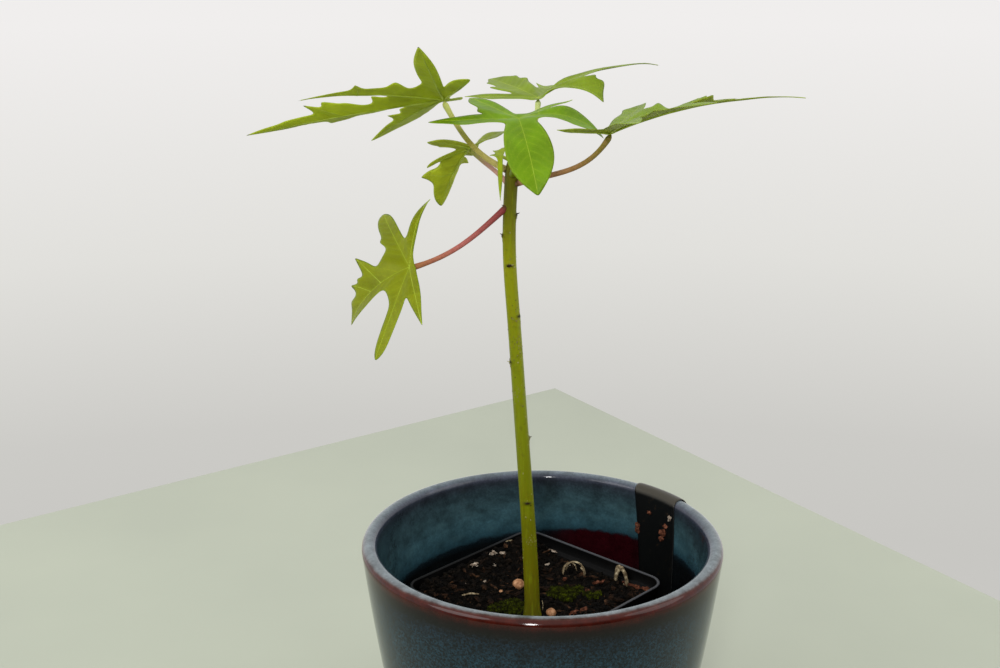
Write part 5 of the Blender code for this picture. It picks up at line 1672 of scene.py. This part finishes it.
for name, leaf in LEAVES.items():
    young = name == "young"
    spacing = YOUNG_SPACING if young else SPACING
    upper_green, under_green = LEAF_GREENS[name]
    upper = leaf_material("papaya_leaf_upper_" + name, upper_green, "#8aa028", "#8fa432", 0.42)
    under = leaf_material("papaya_leaf_under_" + name, under_green, "#a3b03c", "#a8b444", 0.60)
    outline = blade_outline(leaf, spacing)
    veins = blade_veins(leaf, outline, VEIN_PITCH / 2 if young else VEIN_PITCH)
    points, faces, sides, vein_near, margin_near = blade_skins(leaf, outline, veins, spacing)
    blade = add_piece("leaf_" + name, points, faces, (upper, under), sides)
    set_attribute(blade, "vein", vein_near)
    set_attribute(blade, "margin", margin_near)
    seat(blade, "leaf_blade", "blade_" + name)
    tubes_made = vein_tubes(leaf, outline, veins, 0.5 if young else 1.0)
    for title, strengths, skin_made in (("midribs_", ("midrib", "tooth"), rib_skin),
                                        ("side_veins_", ("side",), under)):
        chosen = [tube for tube, vein in zip(tubes_made, veins) if vein.strength in strengths]
        if chosen:
            seat(add_tubes(title + name, chosen, VEIN_SIDES, skin_made), "leaf_blade")

# %% [markdown]
# ## Floor and light
#
# A plain pale table top carries the pot, with its far corner where the photo has it. The camera
# sees a soft off-white gradient behind it. What lights the plant is brighter above and behind than
# on the viewer's side, because a dark side in front gives a glossy glaze its depth.

# %% Stage
TABLE_CORNER = Vector((0.0255, 0.5058, -0.2 * MM))
TABLE_SIDE = 1.1
TABLE_TURNS = (217.1, 302.0)              # where its two far edges lead, in degrees
MIDDLE = Vector((0.0, 0.0, 0.15))         # what the lamps are aimed at
table_top = grainy_material("sage_table", 0.12, ((0.3, "#a5aa9a"), (0.7, "#aaaf9e")), Roughness=0.6,
                            IOR=1.45)
edges = [Vector((math.cos(math.radians(a)), math.sin(math.radians(a)), 0)) * TABLE_SIDE
         for a in TABLE_TURNS]
corners = [TABLE_CORNER + way for way in (Vector(), edges[0], edges[0] + edges[1], edges[1])]
floor = add_piece("floor", corners, [(0, 1, 2, 3)], (table_top,))


def soft_lamp(name, place, size, power, tall=1):
    lamp = bpy.data.lights.new(name, "AREA")
    lamp.shape = "ELLIPSE"
    lamp.size = size
    lamp.size_y = size * tall
    lamp.energy = power
    holder = add_object(name, lamp)
    holder.location = place
    holder.rotation_euler = (MIDDLE - Vector(place)).to_track_quat("-Z", "Y").to_euler()


soft_lamp("lamp_front", (-0.16, -1.12, 0.72), 0.15, 8, tall=2.6)
soft_lamp("lamp_left", (-1.1, -0.7, 1.1), 1.0, 8)
soft_lamp("lamp_right", (1.2, -0.3, 0.9), 1.0, 4)
world = bpy.data.worlds.new("white_room")
world.use_nodes = True
node = partial(add_node, world.node_tree)
way = node("SeparateXYZ", node("TexCoord").outputs["Generated"]).outputs
wall = node("MapRange", way["Z"], -0.40, 0.0)
shades = node("ValToRGB", wall, stops=(
    (0.0, "#c8c7c3"), (0.155, "#cccbc7"), (0.45, "#e1e0dc"), (0.84, "#f0eeed")))
frontwards = node("MapRange", way["Y"], -0.15, -0.75, 1.0, 0.10)
upwards = node("MapRange", way["Z"], 0.25, 0.7)
room = node("Math", frontwards, upwards, operation="MAXIMUM")
seen = node("LightPath").outputs["Is Camera Ray"]
shown = node("Mix", seen, room, shades, data_type="RGBA")
feed(world.node_tree.nodes["Background"], Color=shown, Strength=1.0)
bpy.context.scene.world = world
print("table", TABLE_SIDE, "m a side")
